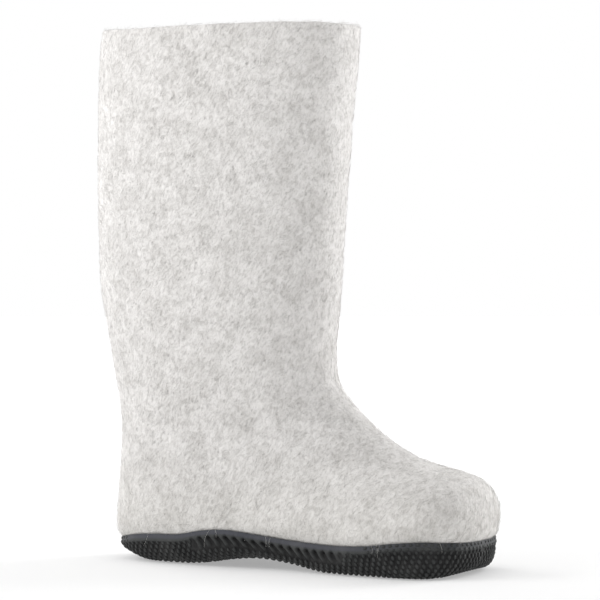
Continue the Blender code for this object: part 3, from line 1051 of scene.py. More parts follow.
@dataclass(frozen=True)
class FibreLay:
    """How the loose fibres of one area lie. Metres and radians."""

    density: float
    length: float
    width: float
    lift: float
    spread: float
    flow: tuple[float, float, float]
    seed: int

    @staticmethod
    @cache
    def tree() -> bpy.types.NodeTree:
        """Make the Geometry Nodes tree that lays fibres on a surface.

        Returns:
            The tree.
        """
        bench, source, result = new_group(
            "lay_fibres",
            "GeometryNodeTree",
            {
                "Geometry": "Geometry",
                "Density": 1000.0,
                "Length": 0.006,
                "Width": 0.0001,
                "Lift": 0.001,
                "Spread": 1.0,
                "Flow": "Vector",
                "Seed": 1,
                "Material": "Material",
            },
            {"Geometry": "Geometry"},
        )
        area = {"Mesh": source["Geometry"], "Density": source["Density"], "Seed": source["Seed"]}
        spots = bench.add("GeometryNodeDistributePointsOnFaces", area)
        strands = bench.add("GeometryNodeJoinGeometry")
        for way in (1.0, -1.0):
            bench.feed(strands, {0: FibreLay.strand(bench, source, way)})
        laid = bench.aim(spots.outputs["Normal"], source["Flow"])
        spread = source["Spread"]
        swing = bench.chance("FLOAT", bench.math("MULTIPLY", spread, -1.0), spread, 3)
        turn = {"Axis": (0.0, 0.0, 1.0), "Angle": swing}
        turn = bench.out("FunctionNodeAxisAngleToRotation", turn)
        aimed = {"Rotation": laid, "Rotate By": turn}
        inputs = {
            "Points": spots.outputs["Points"],
            "Instance": strands.outputs[0],
            "Pick Instance": True,
            "Instance Index": bench.chance("INT", 0, 1, 5),
            "Rotation": bench.out("FunctionNodeRotateRotation", aimed, rotation_space="LOCAL"),
            "Scale": bench.chance("FLOAT_VECTOR", *FIBRE_SIZES, 4),
        }
        placed = bench.out("GeometryNodeInstanceOnPoints", inputs)
        shaded = bench.store(placed, "shade", bench.chance("FLOAT", 0.0, 1.0, 6), "INSTANCE")
        solid = bench.out("GeometryNodeRealizeInstances", {"Geometry": shaded})
        dressed = {"Geometry": solid, "Material": source["Material"]}
        bench.feed(result, {0: bench.out("GeometryNodeSetMaterial", dressed)})
        return bench.tree

    @staticmethod
    def strand(bench: NodeBench, source: bpy.types.NodeOutputs, way: float) -> Socket:
        """Make one bent fibre, a thin three-sided tube that tapers, as an instance.

        Args:
            bench: The tree's bench.
            source: The tree's inputs.
            way: Which way it bends, 1 or -1.

        Returns:
            The fibre.
        """
        bend = {"Resolution": 2}
        for corner, (along, aside, up) in FIBRE_BEND.items():
            x = bench.math("MULTIPLY", source["Length"], along)
            y = bench.math("MULTIPLY", source["Length"], aside * way)
            z = bench.math("MULTIPLY", source["Lift"], up)
            bend[corner] = bench.out("ShaderNodeCombineXYZ", {0: x, 1: y, 2: z})
        path = bench.out("GeometryNodeCurveQuadraticBezier", bend)
        run = bench.out("GeometryNodeSplineParameter", key="Factor")
        taper = bench.math("SUBTRACT", 1.0, bench.math("MULTIPLY", run, FIBRE_TAPER))
        path = bench.out("GeometryNodeSetCurveRadius", {"Curve": path, "Radius": taper})
        ring = {"Resolution": 3, "Radius": bench.math("MULTIPLY", source["Width"], 0.5)}
        ring = bench.out("GeometryNodeCurvePrimitiveCircle", ring)
        tube = {"Curve": path, "Profile Curve": ring, "Fill Caps": True}
        tube = bench.out("GeometryNodeCurveToMesh", tube)
        return bench.out("GeometryNodeGeometryToInstance", {0: tube})

    def lay(
        self, carrier: bpy.types.Object, material: bpy.types.Material, name: str
    ) -> bpy.types.Object:
        """Lay the fibres on a carrier, which is used up, as one mesh of that name."""
        inputs = {key.title(): value for key, value in asdict(self).items()}
        return grown(carrier, self.tree(), inputs | {"Material": material}, name)


@dataclass
class FeltUpper:
    """The seamless felt boot: its wall, its worn cut collar and its woolly surface."""

    form: FeltForm
    half_points: int = 73
    rings_between: int = 6
    cap_rings: int = 26
    swell: float = 0.00045
    pucker: float = 0.00022
    still_below: float = 0.024
    still_above: float = 0.045
    collar_fray: float = 0.0004
    collar_steps: tuple = (0, 30, 60, 90)
    under_edge: float = 0.0012
    inside: tuple = (0.03, 0.0, 0.2)
    shaft_ring: int = 5
    # size of a lump and its seed, for the swells, the puckers and the collar's edge
    lump_sizes: tuple = ((0.026, 3.1), (0.0095, 8.2), (0.012, 5.5))
    lays: tuple = (
        ("wool_collar", FibreLay(190000.0, 0.0050, 0.00010, 0.0007, 1.15, (0.55, 0.30, 0.80), 11)),
        ("wool_shaft", FibreLay(190000.0, 0.0050, 0.00010, 0.0007, 1.15, (0.55, 0.30, 0.80), 17)),
        ("wool_heel", FibreLay(190000.0, 0.0056, 0.00010, 0.0007, 0.80, (0.50, 0.30, 0.85), 23)),
        ("wool_toe", FibreLay(190000.0, 0.0056, 0.00010, 0.0007, 0.80, (0.50, 0.30, 0.85), 31)),
    )

    def wall(self) -> tuple[np.ndarray, np.ndarray]:
        """Lay the outer and the inner skin as rings, collar to toe.

        Returns:
            The outer and the inner points, as rings x points x 3.
        """
        outer = self.form.rings(self.half_points, self.rings_between, self.cap_rings)
        normals = outward(outer, True, self.shaft_ring, np.array(self.inside))
        normals[-1] = (1.0, 0.0, 0.0)
        flat = outer.reshape(-1, 3)
        wide, small, _ = self.lump_sizes
        bulge = self.swell * lumps(flat, *wide) + self.pucker * lumps(flat, *small)
        bulge = bulge * smoothstep(self.still_below, self.still_above, flat[:, 2])
        bulge = bulge.reshape(outer.shape[:2])
        bulge[-1] = bulge[-1].mean()
        inner = outer - normals * self.form.wall_at(outer[..., 2])[..., None]
        return outer + normals * bulge[..., None], inner

    def collar(self, outer: np.ndarray, inner: np.ndarray) -> np.ndarray:
        """Round the collar's cut edge from the outer skin over to the inner one.

        Args:
            outer: The outer skin's rings.
            inner: The inner skin's rings.

        Returns:
            Rings over the edge, from the outside in.
        """
        r = self.form.collar_round
        rim, low = outer[0], outer[1]
        down = (low - rim) / np.linalg.norm(low - rim, axis=1, keepdims=True)
        out = rim - inner[0]
        out = out / np.linalg.norm(out, axis=1, keepdims=True)
        fray = self.collar_fray * lumps(rim, *self.lump_sizes[2])[:, None] * down
        turns = [math.radians(step) for step in self.collar_steps]
        turns = [(math.cos(turn), math.sin(turn)) for turn in turns]
        rings = [rim + fray + out * r * (c - 1) + down * r * (1 - s) for c, s in turns]
        rings += [inner[0] + fray + out * r * (1 - s) + down * r * (1 - c) for c, s in turns]
        return np.array(rings)

    def seats(
        self, outer: np.ndarray, edge: np.ndarray, sole: SoleForm
    ) -> list[bpy.types.Object]:
        """Cut the bare outer skin into parts of equal area for the fibres to lie on.

        Args:
            outer: The outer skin's rings.
            edge: The rings over the collar's edge.
            sole: The sole, which hides the skin under its edge.

        Returns:
            One surface for each lay, collar to toe.
        """
        skin = np.concatenate((edge[::-1][:-1], outer[1:]))
        faces = np.array(grid_faces(skin.shape[0], skin.shape[1], True))
        points = skin.reshape(-1, 3)
        corners = points[faces]
        middle = corners.mean(axis=1)
        bare = middle[:, 2] > sole.values(middle[:, 0])[0] - self.under_edge
        faces, corners = faces[bare], corners[bare]
        across = np.cross(corners[:, 2] - corners[:, 0], corners[:, 3] - corners[:, 1])
        area = np.cumsum(np.linalg.norm(across, axis=1))
        part = np.minimum(area / area[-1] * len(self.lays), len(self.lays) - 1).astype(int)
        return [
            mesh_object(f"seat_{name}", points, faces[part == i].tolist(), {})
            for i, (name, _) in enumerate(self.lays)
        ]

    def build(self, look: WoolLook, fibre_look: WoolLook, sole: SoleForm) -> list[bpy.types.Object]:
        """Build and dress the felt and its fibres.

        Args:
            look: The felt's finish.
            fibre_look: The fibres' finish.
            sole: The sole, which hides the felt under its edge.

        Returns:
            The felt first, then the fibres.
        """
        outer, inner = self.wall()
        edge = self.collar(outer, inner)
        felt = grid_object("felt_upper", np.concatenate((outer[:0:-1], edge, inner[1:])), {})
        felt.data.materials.append(look.material())
        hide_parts("upper")
        pieces = [felt]
        fibres = fibre_look.material()
        for (name, lay), seat in zip(self.lays, self.seats(outer, edge, sole)):
            pieces.append(lay.lay(seat, fibres, name))
        for piece in pieces:
            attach(piece, BODY)
        return pieces


@dataclass
class RubberSole:
    """The moulded rubber sole: smooth band, leaning ribs, and nubs low down."""

    form: SoleForm
    steps_per_rib: int = 8
    rib_pitch: float = 0.0066
    rib_depth: float = 0.0018
    rib_span: tuple = (0.020, 0.040, 0.125, 0.160)
    rib_top: float = -0.0012
    rib_arch: float = 0.0024
    rib_edge: tuple = (0.25, 0.38)
    rib_foot: tuple = (0.0065, 0.0090)
    nub_height: float = 0.0010
    nub_step: float = 0.0044
    nub_row: float = 0.0031
    nub_length: float = 0.0034
    nub_width: float = 0.0025
    nub_unevenness: float = 0.14
    nub_seed: int = 4
    row_start: float = 0.45
    row_end: float = 0.0008
    end_gap: float = 0.0005
    ribs_down_to: float = 0.0078
    tread_row: float = 0.0040
    tread_ends: tuple = (0.003, -0.001)
    tread_side: float = 0.0006
    tread_most: int = 12
    outline_points: int = 400
    # a row of the whole skin and one of its side, to tell which way is out
    sample_rows: tuple = (10, 4)
    tread_turn: float = 0.75
    ground_rise: tuple = (0.0050, 0.0085)
    ground_start: float = 0.0012
    rib_rise: float = 0.0009
    edge_rows: tuple = (0.30, 0.85)
    edge_bare: tuple = (-0.026, 0.158)
    edge_sink: float = 0.00045
    # where the band's painted reflection begins behind, and where and how far it fades in front
    band_span: tuple = (-0.045, -0.022)
    band_fade: tuple = (0.12, 0.20, 0.55)
    lip_share: float = 0.25
    side_rows: int = 20
    bottom_shares: tuple = (0.9, 0.78, 0.62, 0.44, 0.24, 0.0)
    band_shares: tuple = (0.0, 0.06, 0.20, 0.50, 0.80, 0.93, 1.0)
    roof_shares: tuple = (0.0, 0.4, 0.7, 0.85, 0.93, 0.975, 1.0)

    @property
    def ribs(self) -> int:
        """Number of ribs along one side."""
        return round(self.form.total / self.rib_pitch)

    @property
    def nubs(self) -> int:
        """Number of nubs in a row along one side."""
        return round(self.form.total / self.nub_step)

    def roof(self, length: np.ndarray, tree: BVHTree) -> np.ndarray:
        """Dish the sole's top to the felt that sits in it.

        Args:
            length: Places along the edge.
            tree: The felt's outer surface.

        Returns:
            Rows of points, from the spine out to the edge.
        """
        e = self.form.at(length)
        rows = []
        for share in self.roof_shares:
            out = (e["reach"] + self.form.gap) * share
            x, y, z = e["x"] + e["hx"] * out, e["hy"] * out, np.copy(e["height"])
            if share < 1.0:
                for i in range(len(z)):
                    hit = tree.ray_cast(Vector((x[i], y[i], -0.01)), Vector((0, 0, 1)))[0]
                    z[i] = min(hit.z - self.form.gap if hit else z[i], z[i])
            rows.append(np.column_stack((x, y, z)))
        return np.array(rows)

    def flank(self, length: np.ndarray) -> tuple[np.ndarray, np.ndarray]:
        """Lay the lower side in evenly spaced rows.

        Args:
            length: Places along the edge.

        Returns:
            Rows of points, and how far down the side each lies.
        """
        fine = np.array([self.form.side_points(length, a) for a in np.linspace(0.0, 90.0, 91)])
        columns = [evenly(fine[:, j], self.side_rows) for j in range(len(length))]
        rows, down = (np.stack(part, axis=1) for part in zip(*columns))
        return rows, down

    def rib_share(self, x: np.ndarray) -> np.ndarray:
        """Give how strongly the ribs show at a place along the foot."""
        a, b, c, d = self.rib_span
        return smoothstep(a, b, x) * (1 - smoothstep(c, d, x))

    def relief(
        self, length: np.ndarray, x: np.ndarray, down: np.ndarray
    ) -> tuple[np.ndarray, np.ndarray]:
        """Work out how far under its plain form the moulded side lies, and how raised it is; the
        rubber's material paints shade into the places that are not raised.

        Args:
            length: Places along the edge, for each point.
            x: Places along the foot.
            down: How far down the side.

        Returns:
            Depth under the plain form, and the share of being raised.
        """
        pitch = self.form.total / self.ribs
        off = np.abs((length / pitch) % 1.0 - 0.5)
        top = self.rib_top + self.rib_arch * (off / self.rib_edge[1]) ** 2
        recess = (1 - smoothstep(*self.rib_edge, off)) * smoothstep(top, top + self.rib_rise, down)
        recess = recess * (1 - smoothstep(*self.rib_foot, down)) * self.rib_share(x)
        ground = np.maximum(smoothstep(*self.ground_rise, down), 1 - self.rib_share(x))
        ground = self.nub_height * ground * smoothstep(0.0, self.ground_start, down)
        depth = np.maximum(self.rib_depth * recess, ground)
        # the share of being raised, which the rubber's material turns into painted shade where it is
        # low
        raised = np.clip(1 - depth / self.nub_height, 0, 1)
        return depth, raised

    def body(self, tree: BVHTree) -> tuple[bpy.types.Object, dict]:
        """Build the sole itself.

        Args:
            tree: The felt's outer surface.

        Returns:
            The sole, and its side's rows for the nubs to sit on.
        """
        length = np.linspace(0.0, self.form.total, self.ribs * self.steps_per_rib + 1)
        roof = self.roof(length, tree)
        band = np.array([self.form.band_points(length, share) for share in self.band_shares])
        side, down = self.flank(length)
        floor = np.array([self.form.bottom_points(length, share) for share in self.bottom_shares])
        skin = np.concatenate((band, side[1:], floor))
        normals = outward(skin, False, self.sample_rows[0])
        normals[:, 0, 1] = normals[:, -1, 1] = 0.0
        over = (np.array(self.band_shares)[:, None] - 1) * self.form.band_height
        over = over.repeat(len(length), 1)
        reach = np.concatenate((over, down[1:], down[-1:].repeat(len(floor), 0)))
        depth, raised = self.relief(np.broadcast_to(length, reach.shape), skin[..., 0], reach)
        sides = slice(len(band) - 1, len(band) + len(side) - 1)
        normals[sides.stop :] = (0.0, 0.0, -1.0)
        carved = skin - normals * depth[..., None]
        # painted reflection: the band's rows, less at the lip, faded behind and in front, take the
        # band's lighter colour
        band_reflection = np.zeros(reach.shape)
        band_reflection[: len(band) - 3] = 1.0
        band_reflection[0] = self.lip_share
        begin, end, fade = self.band_fade
        band_reflection = band_reflection * smoothstep(*self.band_span, skin[..., 0])
        band_reflection = band_reflection * (1 - fade * smoothstep(begin, end, skin[..., 0]))
        points = np.concatenate((roof[:-1], carved))
        extra = ((len(roof) - 1, 0), (0, 0))
        facts = {"raised": np.pad(raised, extra), "band": np.pad(band_reflection, extra)}
        facts = {k: np.concatenate((v, v[:, -2:0:-1]), axis=1).ravel() for k, v in facts.items()}
        sole = grid_object("rubber_sole", both_halves(points), facts)
        return sole, {"skin": carved[sides], "down": down}

    def flank_seats(self, rows: dict) -> tuple[np.ndarray, np.ndarray, np.ndarray]:
        """Place nubs in leaning rows on the lower side, heel and toe.

        Args:
            rows: The side's rows, from body.

        Returns:
            Points, outward normals and the way that each nub runs.
        """
        down, skin = rows["down"], rows["skin"]
        normals = outward(skin, False, self.sample_rows[1])
        last, columns = len(skin) - 1, skin.shape[1] - 1
        seats, facing, running = [], [], []
        for row in range(int(down[-1].max() / self.nub_row) + 1):
            depth = (row + self.row_start) * self.nub_row
            shift = 0.5 * (row % 2)
            for j in range(self.nubs + 1):
                place = (j + shift) / self.nubs * self.form.total
                if not self.end_gap < place <= self.form.total - self.end_gap:
                    continue
                c = place / self.form.total * columns
                i = min(int(c), columns - 1)
                if depth > down[-1, i] - self.row_end:
                    continue
                r = depth / down[-1, i] * last
                k = min(int(r), last - 1)
                point = between_points(skin, r, c)
                if self.rib_share(point[0:1])[0] > 0.5 and depth < self.ribs_down_to:
                    continue
                seats.append(point)
                facing.append(between_points(normals, r, c))
                running.append(skin[k + 1, i] - skin[k, i])
        found = (np.array(seats), np.array(facing), np.array(running))
        found = [np.concatenate(pair) for pair in zip(found, self.edge_seats())]
        return tuple(np.concatenate((part, part * MIRROR)) for part in found)

    def edge_seats(self) -> tuple[np.ndarray, np.ndarray, np.ndarray]:
        """Place nubs over the band where it is knurled: round the heel and the toe.

        Returns:
            Points, outward normals and the way that each nub runs.
        """
        found = []
        for row, share in enumerate(self.edge_rows):
            place = (np.arange(self.nubs) + 0.25 + 0.5 * (row % 2)) / self.nubs * self.form.total
            point = self.form.band_points(place, share)
            keep = (point[:, 0] < self.edge_bare[0]) | (point[:, 0] > self.edge_bare[1])
            place, point = place[keep], point[keep]
            ahead = self.form.band_points(place + self.end_gap, share) - point
            across = self.form.band_points(place, share + 0.1) - point
            out = np.cross(across, ahead)
            out /= np.linalg.norm(out, axis=1, keepdims=True)
            away = point - (self.form.felt.foot_length * 0.3, 0.0, 0.0)
            out *= np.where(np.sum(out[:, :2] * away[:, :2], axis=1) < 0, -1, 1)[:, None]
            found.append((point - out * self.edge_sink, out, ahead))
        return tuple(np.concatenate(part) for part in zip(*found))

    def tread_seats(self) -> tuple[np.ndarray, np.ndarray, np.ndarray]:
        """Place nubs in staggered rows under the sole.

        Returns:
            Points, outward normals and the way that each nub runs.
        """
        lengths = np.linspace(0, self.form.total, self.outline_points)
        outline = self.form.bottom_points(lengths, 1.0)
        seats = []
        behind, before = self.tread_ends
        begin, end = outline[:, 0].min() + behind, outline[:, 0].max() + before
        for i, x in enumerate(np.arange(begin, end, self.tread_row)):
            near = outline[np.abs(outline[:, 0] - x) < behind]
            half = -near[:, 1].min() if len(near) else 0.0
            places = np.arange(-self.tread_most, self.tread_most + 1)
            across = (places + 0.5 * (i % 2)) * self.nub_step
            for y in across[np.abs(across) < half - self.tread_side]:
                z = float(self.form.values(np.array(x))[2]) + self.nub_height
                seats.append((x, y, z))
        seats = np.array(seats)
        down = np.tile((0.0, 0.0, -1.0), (len(seats), 1))
        lean = np.where(seats[:, 1:2] < 0, 1.0, -1.0) * (0.0, 1.0, 0.0)
        return seats, down, lean + (self.tread_turn, 0.0, 0.0)

    @staticmethod
    def nub_tree() -> bpy.types.NodeTree:
        """Make the Geometry Nodes tree that sets a rounded nub on each seat.

        Returns:
            The tree.
        """
        bench, source, result = new_group(
            "set_nubs",
            "GeometryNodeTree",
            {
                "Geometry": "Geometry",
                "Length": 0.003,
                "Width": 0.002,
                "Height": 0.001,
                "Unevenness": 0.1,
                "Seed": 1,
                "Material": "Material",
            },
            {"Geometry": "Geometry"},
        )
        ball = {"Segments": 8, "Rings": 5, "Radius": 1.0}
        ball = bench.out("GeometryNodeMeshUVSphere", ball)
        up = bench.out("ShaderNodeSeparateXYZ", {0: bench.out("GeometryNodeInputPosition")}, 2)
        # the nub counts as raised towards its top, so its lower half gets the painted shade of the
        # recesses
        marked = bench.store(ball, "raised", bench.math("MAXIMUM", up, 0.0), "POINT")
        size = {i: bench.math("MULTIPLY", source[k], 0.5) for i, k in enumerate(("Length", "Width"))}
        size = bench.out("ShaderNodeCombineXYZ", size | {2: source["Height"]})
        sized = bench.out("GeometryNodeTransform", {"Geometry": marked, "Scale": size})
        kind, ways = "GeometryNodeInputNamedAttribute", []
        for name in ("facing", "running"):
            way = bench.out(kind, {"Name": name}, "Attribute", data_type="FLOAT_VECTOR")
            ways.append(way)
        low = bench.math("SUBTRACT", 1.0, source["Unevenness"])
        high = bench.math("ADD", 1.0, source["Unevenness"])
        spread = bench.chance("FLOAT", low, high, 7)
        inputs = {
            "Points": source["Geometry"],
            "Instance": sized,
            "Rotation": bench.aim(*ways),
            "Scale": bench.out("ShaderNodeCombineXYZ", {0: spread, 1: spread, 2: 1.0}),
        }
        placed = bench.out("GeometryNodeInstanceOnPoints", inputs)
        solid = {"Geometry": bench.out("GeometryNodeRealizeInstances", {"Geometry": placed})}
        smooth = bench.out("GeometryNodeSetShadeSmooth", solid | {"Shade Smooth": True})
        dressed = {"Geometry": smooth, "Material": source["Material"]}
        bench.feed(result, {0: bench.out("GeometryNodeSetMaterial", dressed)})
        return bench.tree

    def build(self, look: RubberLook, tree: BVHTree) -> list[bpy.types.Object]:
        """Build and dress the sole and its nubs.

        Args:
            look: The rubber's finish.
            tree: The felt's outer surface.

        Returns:
            The sole first, then its nubs.
        """
        sole, rows = self.body(tree)
        material = look.material()
        sole.data.materials.append(material)
        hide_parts("outsole")
        pieces = [sole]
        set_nubs = self.nub_tree()
        inputs = {
            "Length": self.nub_length,
            "Width": self.nub_width,
            "Height": self.nub_height,
            "Unevenness": self.nub_unevenness,
            "Seed": self.nub_seed,
            "Material": material,
        }
        for place in NubPlace:
            found = self.flank_seats(rows) if place is NubPlace.FLANK else self.tread_seats()
            facts = {"facing": found[1], "running": found[2]}
            carrier = mesh_object(place.value + "_seats", found[0], [], facts)
            pieces.append(grown(carrier, set_nubs, inputs, "nubs_" + place.value))
        for piece in pieces:
            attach(piece, BODY)
        return pieces


@dataclass
class FeltInsole:
    """The loose felt insole on the boot's floor."""

    form: FeltForm
    sole: SoleForm
    thickness: float = 0.0040
    clearance: float = 0.0016
    step: float = 0.0045
    shares: tuple = (1.0, 0.97, 0.9, 0.8, 0.65, 0.45, 0.22, 0.0)
    unevenness: float = 0.00025
    lump: tuple = (0.014, 1.9)
    edge_drop: float = 0.0009

    def build(self, look: WoolLook, felt: bpy.types.Object) -> bpy.types.Object:
        """Build and dress the insole.

        Args:
            look: Its finish.
            felt: The felt upper, on whose floor it lies.

        Returns:
            The insole.
        """
        graph = bpy.context.evaluated_depsgraph_get()
        floor = BVHTree.FromObject(felt, graph)
        down = Vector((0, 0, -1))
        count = 2 * round(self.sole.total / self.step / 2) + 1
        e = self.sole.at(np.linspace(0.0, self.sole.total, count))
        low = np.zeros((len(self.shares), len(e["x"]), 3))
        for j, (x, hx, hy) in enumerate(zip(e["x"], e["hx"], e["hy"])):
            start = Vector((x, 0.0, self.form.tip_height))
            base = floor.ray_cast(start, down)[0].z
            level = Vector((x, 0.0, base + self.thickness))
            reach = (floor.ray_cast(level, Vector((hx, hy, 0.0)))[0] - level).length - self.clearance
            for i, share in enumerate(self.shares):
                above = Vector((x + hx * reach * share, hy * reach * share, start.z))
                low[i, j] = (above.x, above.y, floor.ray_cast(above, down)[0].z + self.sole.gap)
        high = low + (0.0, 0.0, self.thickness)
        flat = high.reshape(-1, 3)
        high[..., 2] += (self.unevenness * lumps(flat, *self.lump)).reshape(high.shape[:2])
        high[0, :, 2] -= self.edge_drop
        grid = both_halves(np.concatenate((high[::-1], low)))
        insole = grid_object("felt_insole", grid, {})
        insole.data.materials.append(look.material())
        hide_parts("insole")
        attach(insole, BODY)
        return insole


@dataclass
class StrayHairs:
    """A few pale hairs that have come off the felt and hang over the sole's band."""

    form: SoleForm
    width: float = 0.00016
    ring_count: int = 9
    ring_turns: tuple = (0.0, 2.0944, 4.1888)
    taper: float = 0.6
    flatness: float = 0.6
    start_gap: float = 0.0004
    # how far a hair stands off at its start, and how much more at its end
    proud: tuple = (0.00035, 0.0008)
    # how the other half's hairs are moved along
    other_shift: float = 0.93
    # place along the edge as a share, start over the edge, length, lean to the toe, curl
    hairs: tuple = (
        (0.17, 0.003, 0.011, -0.15, 0.0012),
        (0.335, 0.002, 0.013, -0.30, -0.0016),
        (0.345, 0.001, 0.006, 0.50, 0.0009),
        (0.46, 0.002, 0.009, 0.35, 0.0011),
        (0.475, 0.001, 0.007, 0.10, -0.0008),
        (0.72, 0.002, 0.007, 0.45, 0.0010),
        (0.733, 0.001, 0.009, 0.25, 0.0008),
        (0.745, 0.002, 0.006, -0.20, -0.0012),
        (0.86, 0.002, 0.008, 0.30, 0.0010),
    )

    def build(self, look: WoolLook) -> bpy.types.Object:
        """Build and dress the hairs, on both sides of the boot.

        Args:
            look: The fibres' finish.

        Returns:
            All hairs as one mesh.
        """
        points, faces, sides = [], [], len(self.ring_turns)
        for side in Side:
            for place, rise, long, lean, curl in self.hairs:
                if side is Side.LEFT:
                    place, lean = 1.0 - place * self.other_shift, -lean
                for ring in self.tube(place, rise, long, lean, curl, side):
                    points.extend(ring)
                end = len(points) - sides
                first = end - sides * (self.ring_count - 1)
                for ring in range(first, end, sides):
                    for j in range(sides):
                        a, b = ring + j, ring + (j + 1) % sides
                        faces.append((a, b, b + sides, a + sides))
                faces.append((first + 2, first + 1, first))
                faces.append((end, end + 1, end + 2))
        shade = np.zeros(len(points))
        hairs = mesh_object("stray_hairs", np.array(points), faces, {"shade": shade})
        hairs.data.materials.append(look.material())
        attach(hairs, BODY)
        return hairs

    def tube(
        self, place: float, rise: float, long: float, lean: float, curl: float, side: Side
    ) -> list:
        """Lay one hair as a thin three-sided tube over the band and down.

        Args:
            place: Share of the way along the edge.
            rise: How far over the edge it starts.
            long: Its length.
            lean: How far it moves to the toe for each unit down.
            curl: How far its middle bows.
            side: Which half it is on.

        Returns:
            Its rings of three points.
        """
        f = self.form
        near, far = self.proud
        rings = []
        for t in np.linspace(0.0, 1.0, self.ring_count):
            fall = -rise + long * t
            length = place * f.total + lean * fall + curl * math.sin(math.pi * t)
            e = {k: float(v) for k, v in f.at(np.array(length)).items()}
            side_out = float(f.values(np.array(e["met"]))[1])
            share = min(max(fall / f.band_height, 0.0), 1.0)
            band = f.lip + (side_out - f.lip) * share if fall > 0 else self.start_gap
            out = e["reach"] + f.gap + band + (near + far * t * t)
            centre = np.array((e["x"] + e["hx"] * out, e["hy"] * out, e["height"] - fall))
            r = self.width / 2 * (1 - self.taper * t)
            ring = []
            for turn in self.ring_turns:
                c, s = math.cos(turn), math.sin(turn)
                p = centre + np.array((c, s * self.flatness, 0.3 * s)) * r
                ring.append((p[0], -side.value * p[1], p[2]))
            rings.append(ring)
        return rings


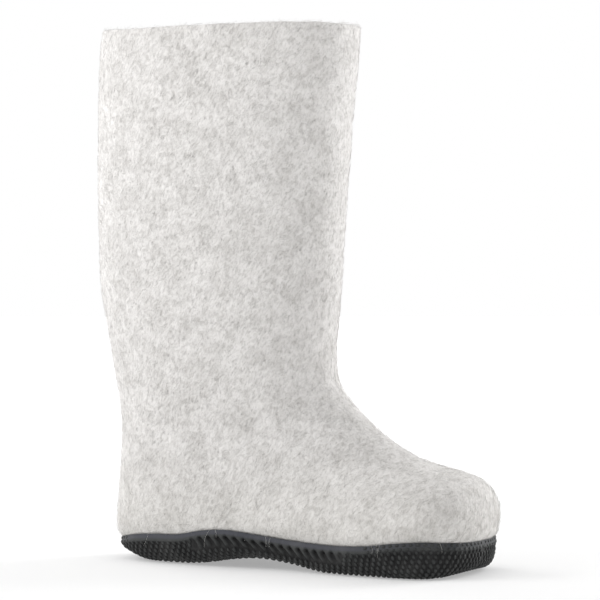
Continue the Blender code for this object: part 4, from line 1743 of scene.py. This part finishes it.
@dataclass
class Studio:
    """Pale floor that glows as painted light, soft lights at both sides, and the camera."""

    floor_radius: float = 9.0
    floor_drop: float = -0.00005
    floor_tone: float = 0.58
    floor_grain: float = 0.985
    floor_glow: float = 0.36
    glow_span: tuple = (0.35, 1.6)
    world_light: float = 0.585
    camera_place: tuple = (0.8769, -1.5242, 0.193)
    look_angle: float = 30.0
    aside: float = 0.0455
    below: float = 0.01147
    lens: float = 157.4
    # name, place, aim, width, height, watts
    lamps: tuple = (
        ("key_left", (-1.35, -1.20, 1.10), (0.03, 0.0, 0.18), 1.1, 1.3, 18.0),
        ("rim_right", (0.95, 1.35, 0.75), (0.06, 0.0, 0.17), 0.7, 1.2, 19.0),
        ("back_left", (-1.45, 0.55, 0.80), (0.0, 0.0, 0.18), 0.8, 1.2, 8.0),
        ("overhead", (-0.3, -0.2, 2.2), (0.0, 0.0, 0.1), 1.6, 1.6, 6.0),
    )

    def floor(self) -> bpy.types.Object:
        """Lay the round floor in rings of faces. It glows as painted light: a little near the boot,
        which lifts its shadows, and fully further out, which whitens the floor.

        Returns:
            The floor.
        """
        turns = np.linspace(0.0, 2 * math.pi, 96, endpoint=False)
        radii = (0.0005, 0.3, 0.8, 2.0, 5.0, self.floor_radius)
        low = self.floor_drop
        rings = [[(r * math.cos(t), r * math.sin(t), low) for t in turns] for r in radii]
        obj = grid_object("floor", np.array(rings), {})
        material, bench, shader = new_material("floor_paper")
        where = bench.out("ShaderNodeTexCoord", key="Object")
        away = bench.out("ShaderNodeVectorMath", {0: where}, "Value", operation="LENGTH")
        # painted light: the floor glows a little near the boot and fully further out
        glow = bench.band(away, *self.glow_span, 1.0 - self.floor_glow)
        pale, dull = ((tone,) * 3 for tone in (self.floor_tone, self.floor_tone * self.floor_grain))
        finish = {
            "Base Color": bench.mix(bench.speckle(where, 40.0, 2.0), pale, dull),
            "Emission Color": bench.math("ADD", glow, self.floor_glow),
            "Emission Strength": 1.0,
            "Roughness": 0.75,
            "Specular IOR Level": 0.2,
        }
        bench.feed(shader, finish)
        obj.data.materials.append(material)
        for face in obj.data.polygons:
            if face.normal.z < 0:
                obj.data.flip_normals()
                break
        return obj

    @staticmethod
    def stand(name: str, data: bpy.types.ID, place: tuple, aim: Vector) -> bpy.types.Object:
        """Put a lamp or a camera at a place, aimed along a direction.

        Args:
            name: Name of the object.
            data: The lamp or the camera.
            place: Where it stands.
            aim: Which way it looks.

        Returns:
            The object.
        """
        obj = bpy.data.objects.new(name, data)
        obj.location = place
        obj.rotation_euler = aim.to_track_quat("-Z", "Y").to_euler()
        bpy.context.scene.collection.objects.link(obj)
        return obj

    def light(self) -> None:
        """Hang the lamps and light the surroundings evenly."""
        for name, place, aim, wide, high, watts in self.lamps:
            lamp = bpy.data.lights.new(name, "AREA")
            lamp.shape = "RECTANGLE"
            lamp.size, lamp.size_y, lamp.energy = wide, high, watts
            self.stand(name, lamp, place, Vector(aim) - Vector(place))
        world = bpy.data.worlds.new("studio")
        world.use_nodes = True
        bench = NodeBench(world.node_tree)
        seen = bench.out("ShaderNodeLightPath", key="Is Camera Ray")
        strength = bench.line(seen, 1.0 - self.world_light, self.world_light)
        plain = {"Color": (1.0, 1.0, 1.0), "Strength": strength}
        bench.feed(world.node_tree.nodes["Background"], plain)
        bpy.context.scene.world = world

    def camera(self) -> None:
        """Stand the camera and aim it at the boot."""
        turn = math.radians(self.look_angle)
        ahead = Vector((-math.sin(turn), math.cos(turn), 0.0))
        right = Vector((math.cos(turn), math.sin(turn), 0.0))
        aim = ahead + right * self.aside - Vector((0.0, 0.0, self.below))
        data = bpy.data.cameras.new("camera")
        data.lens = self.lens
        data.sensor_width = 36.0
        data.clip_start, data.clip_end = 0.05, 60.0
        bpy.context.scene.camera = self.stand("camera", data, self.camera_place, aim)

    def build(self) -> None:
        """Set up floor, lights, camera and how the picture's tones are shown."""
        self.floor()
        self.light()
        self.camera()
        view = bpy.context.scene.view_settings
        view.view_transform = "Standard"
        view.look = "None"
        view.exposure = 0.0


def report(pieces: list[bpy.types.Object]) -> None:
    """Log each finished piece with its size in millimetres and its triangles.

    Args:
        pieces: The finished pieces.
    """
    for piece in pieces:
        piece.data.calc_loop_triangles()
        corners = np.array([tuple(v.co) for v in piece.data.vertices]) * 1000
        size = corners.max(axis=0) - corners.min(axis=0)
        count = len(piece.data.loop_triangles)
        log.info("%s: %.0f x %.0f x %.0f mm, %d triangles", piece.name, *size, count)


def main() -> None:
    """Build the boot and its studio, and report each piece."""
    logging.basicConfig(level=logging.INFO, format="%(message)s")
    Studio().build()
    felt_form = FeltForm()
    tree = felt_form.tree()
    sole_form = SoleForm(felt_form)
    sole_form.trace_edge(tree)
    wool = WoolLook("grey_felt")
    fibres = WoolLook("wool_fibres", relief=0.0002, own_shade=0.8)
    upper = FeltUpper(felt_form).build(wool, fibres, sole_form)
    report(upper)
    report(RubberSole(sole_form).build(RubberLook(), tree))
    inner = WoolLook("insole_felt", (0.60, 0.58, 0.56), (0.50, 0.485, 0.465), (0.30, 0.29, 0.28))
    report([FeltInsole(felt_form, sole_form).build(inner, upper[0])])
    hair = WoolLook("loose_hair", (0.82, 0.80, 0.77), (0.75, 0.73, 0.70), own_shade=1.0)
    report([StrayHairs(sole_form).build(hair)])


if __name__ == "__main__":
    main()
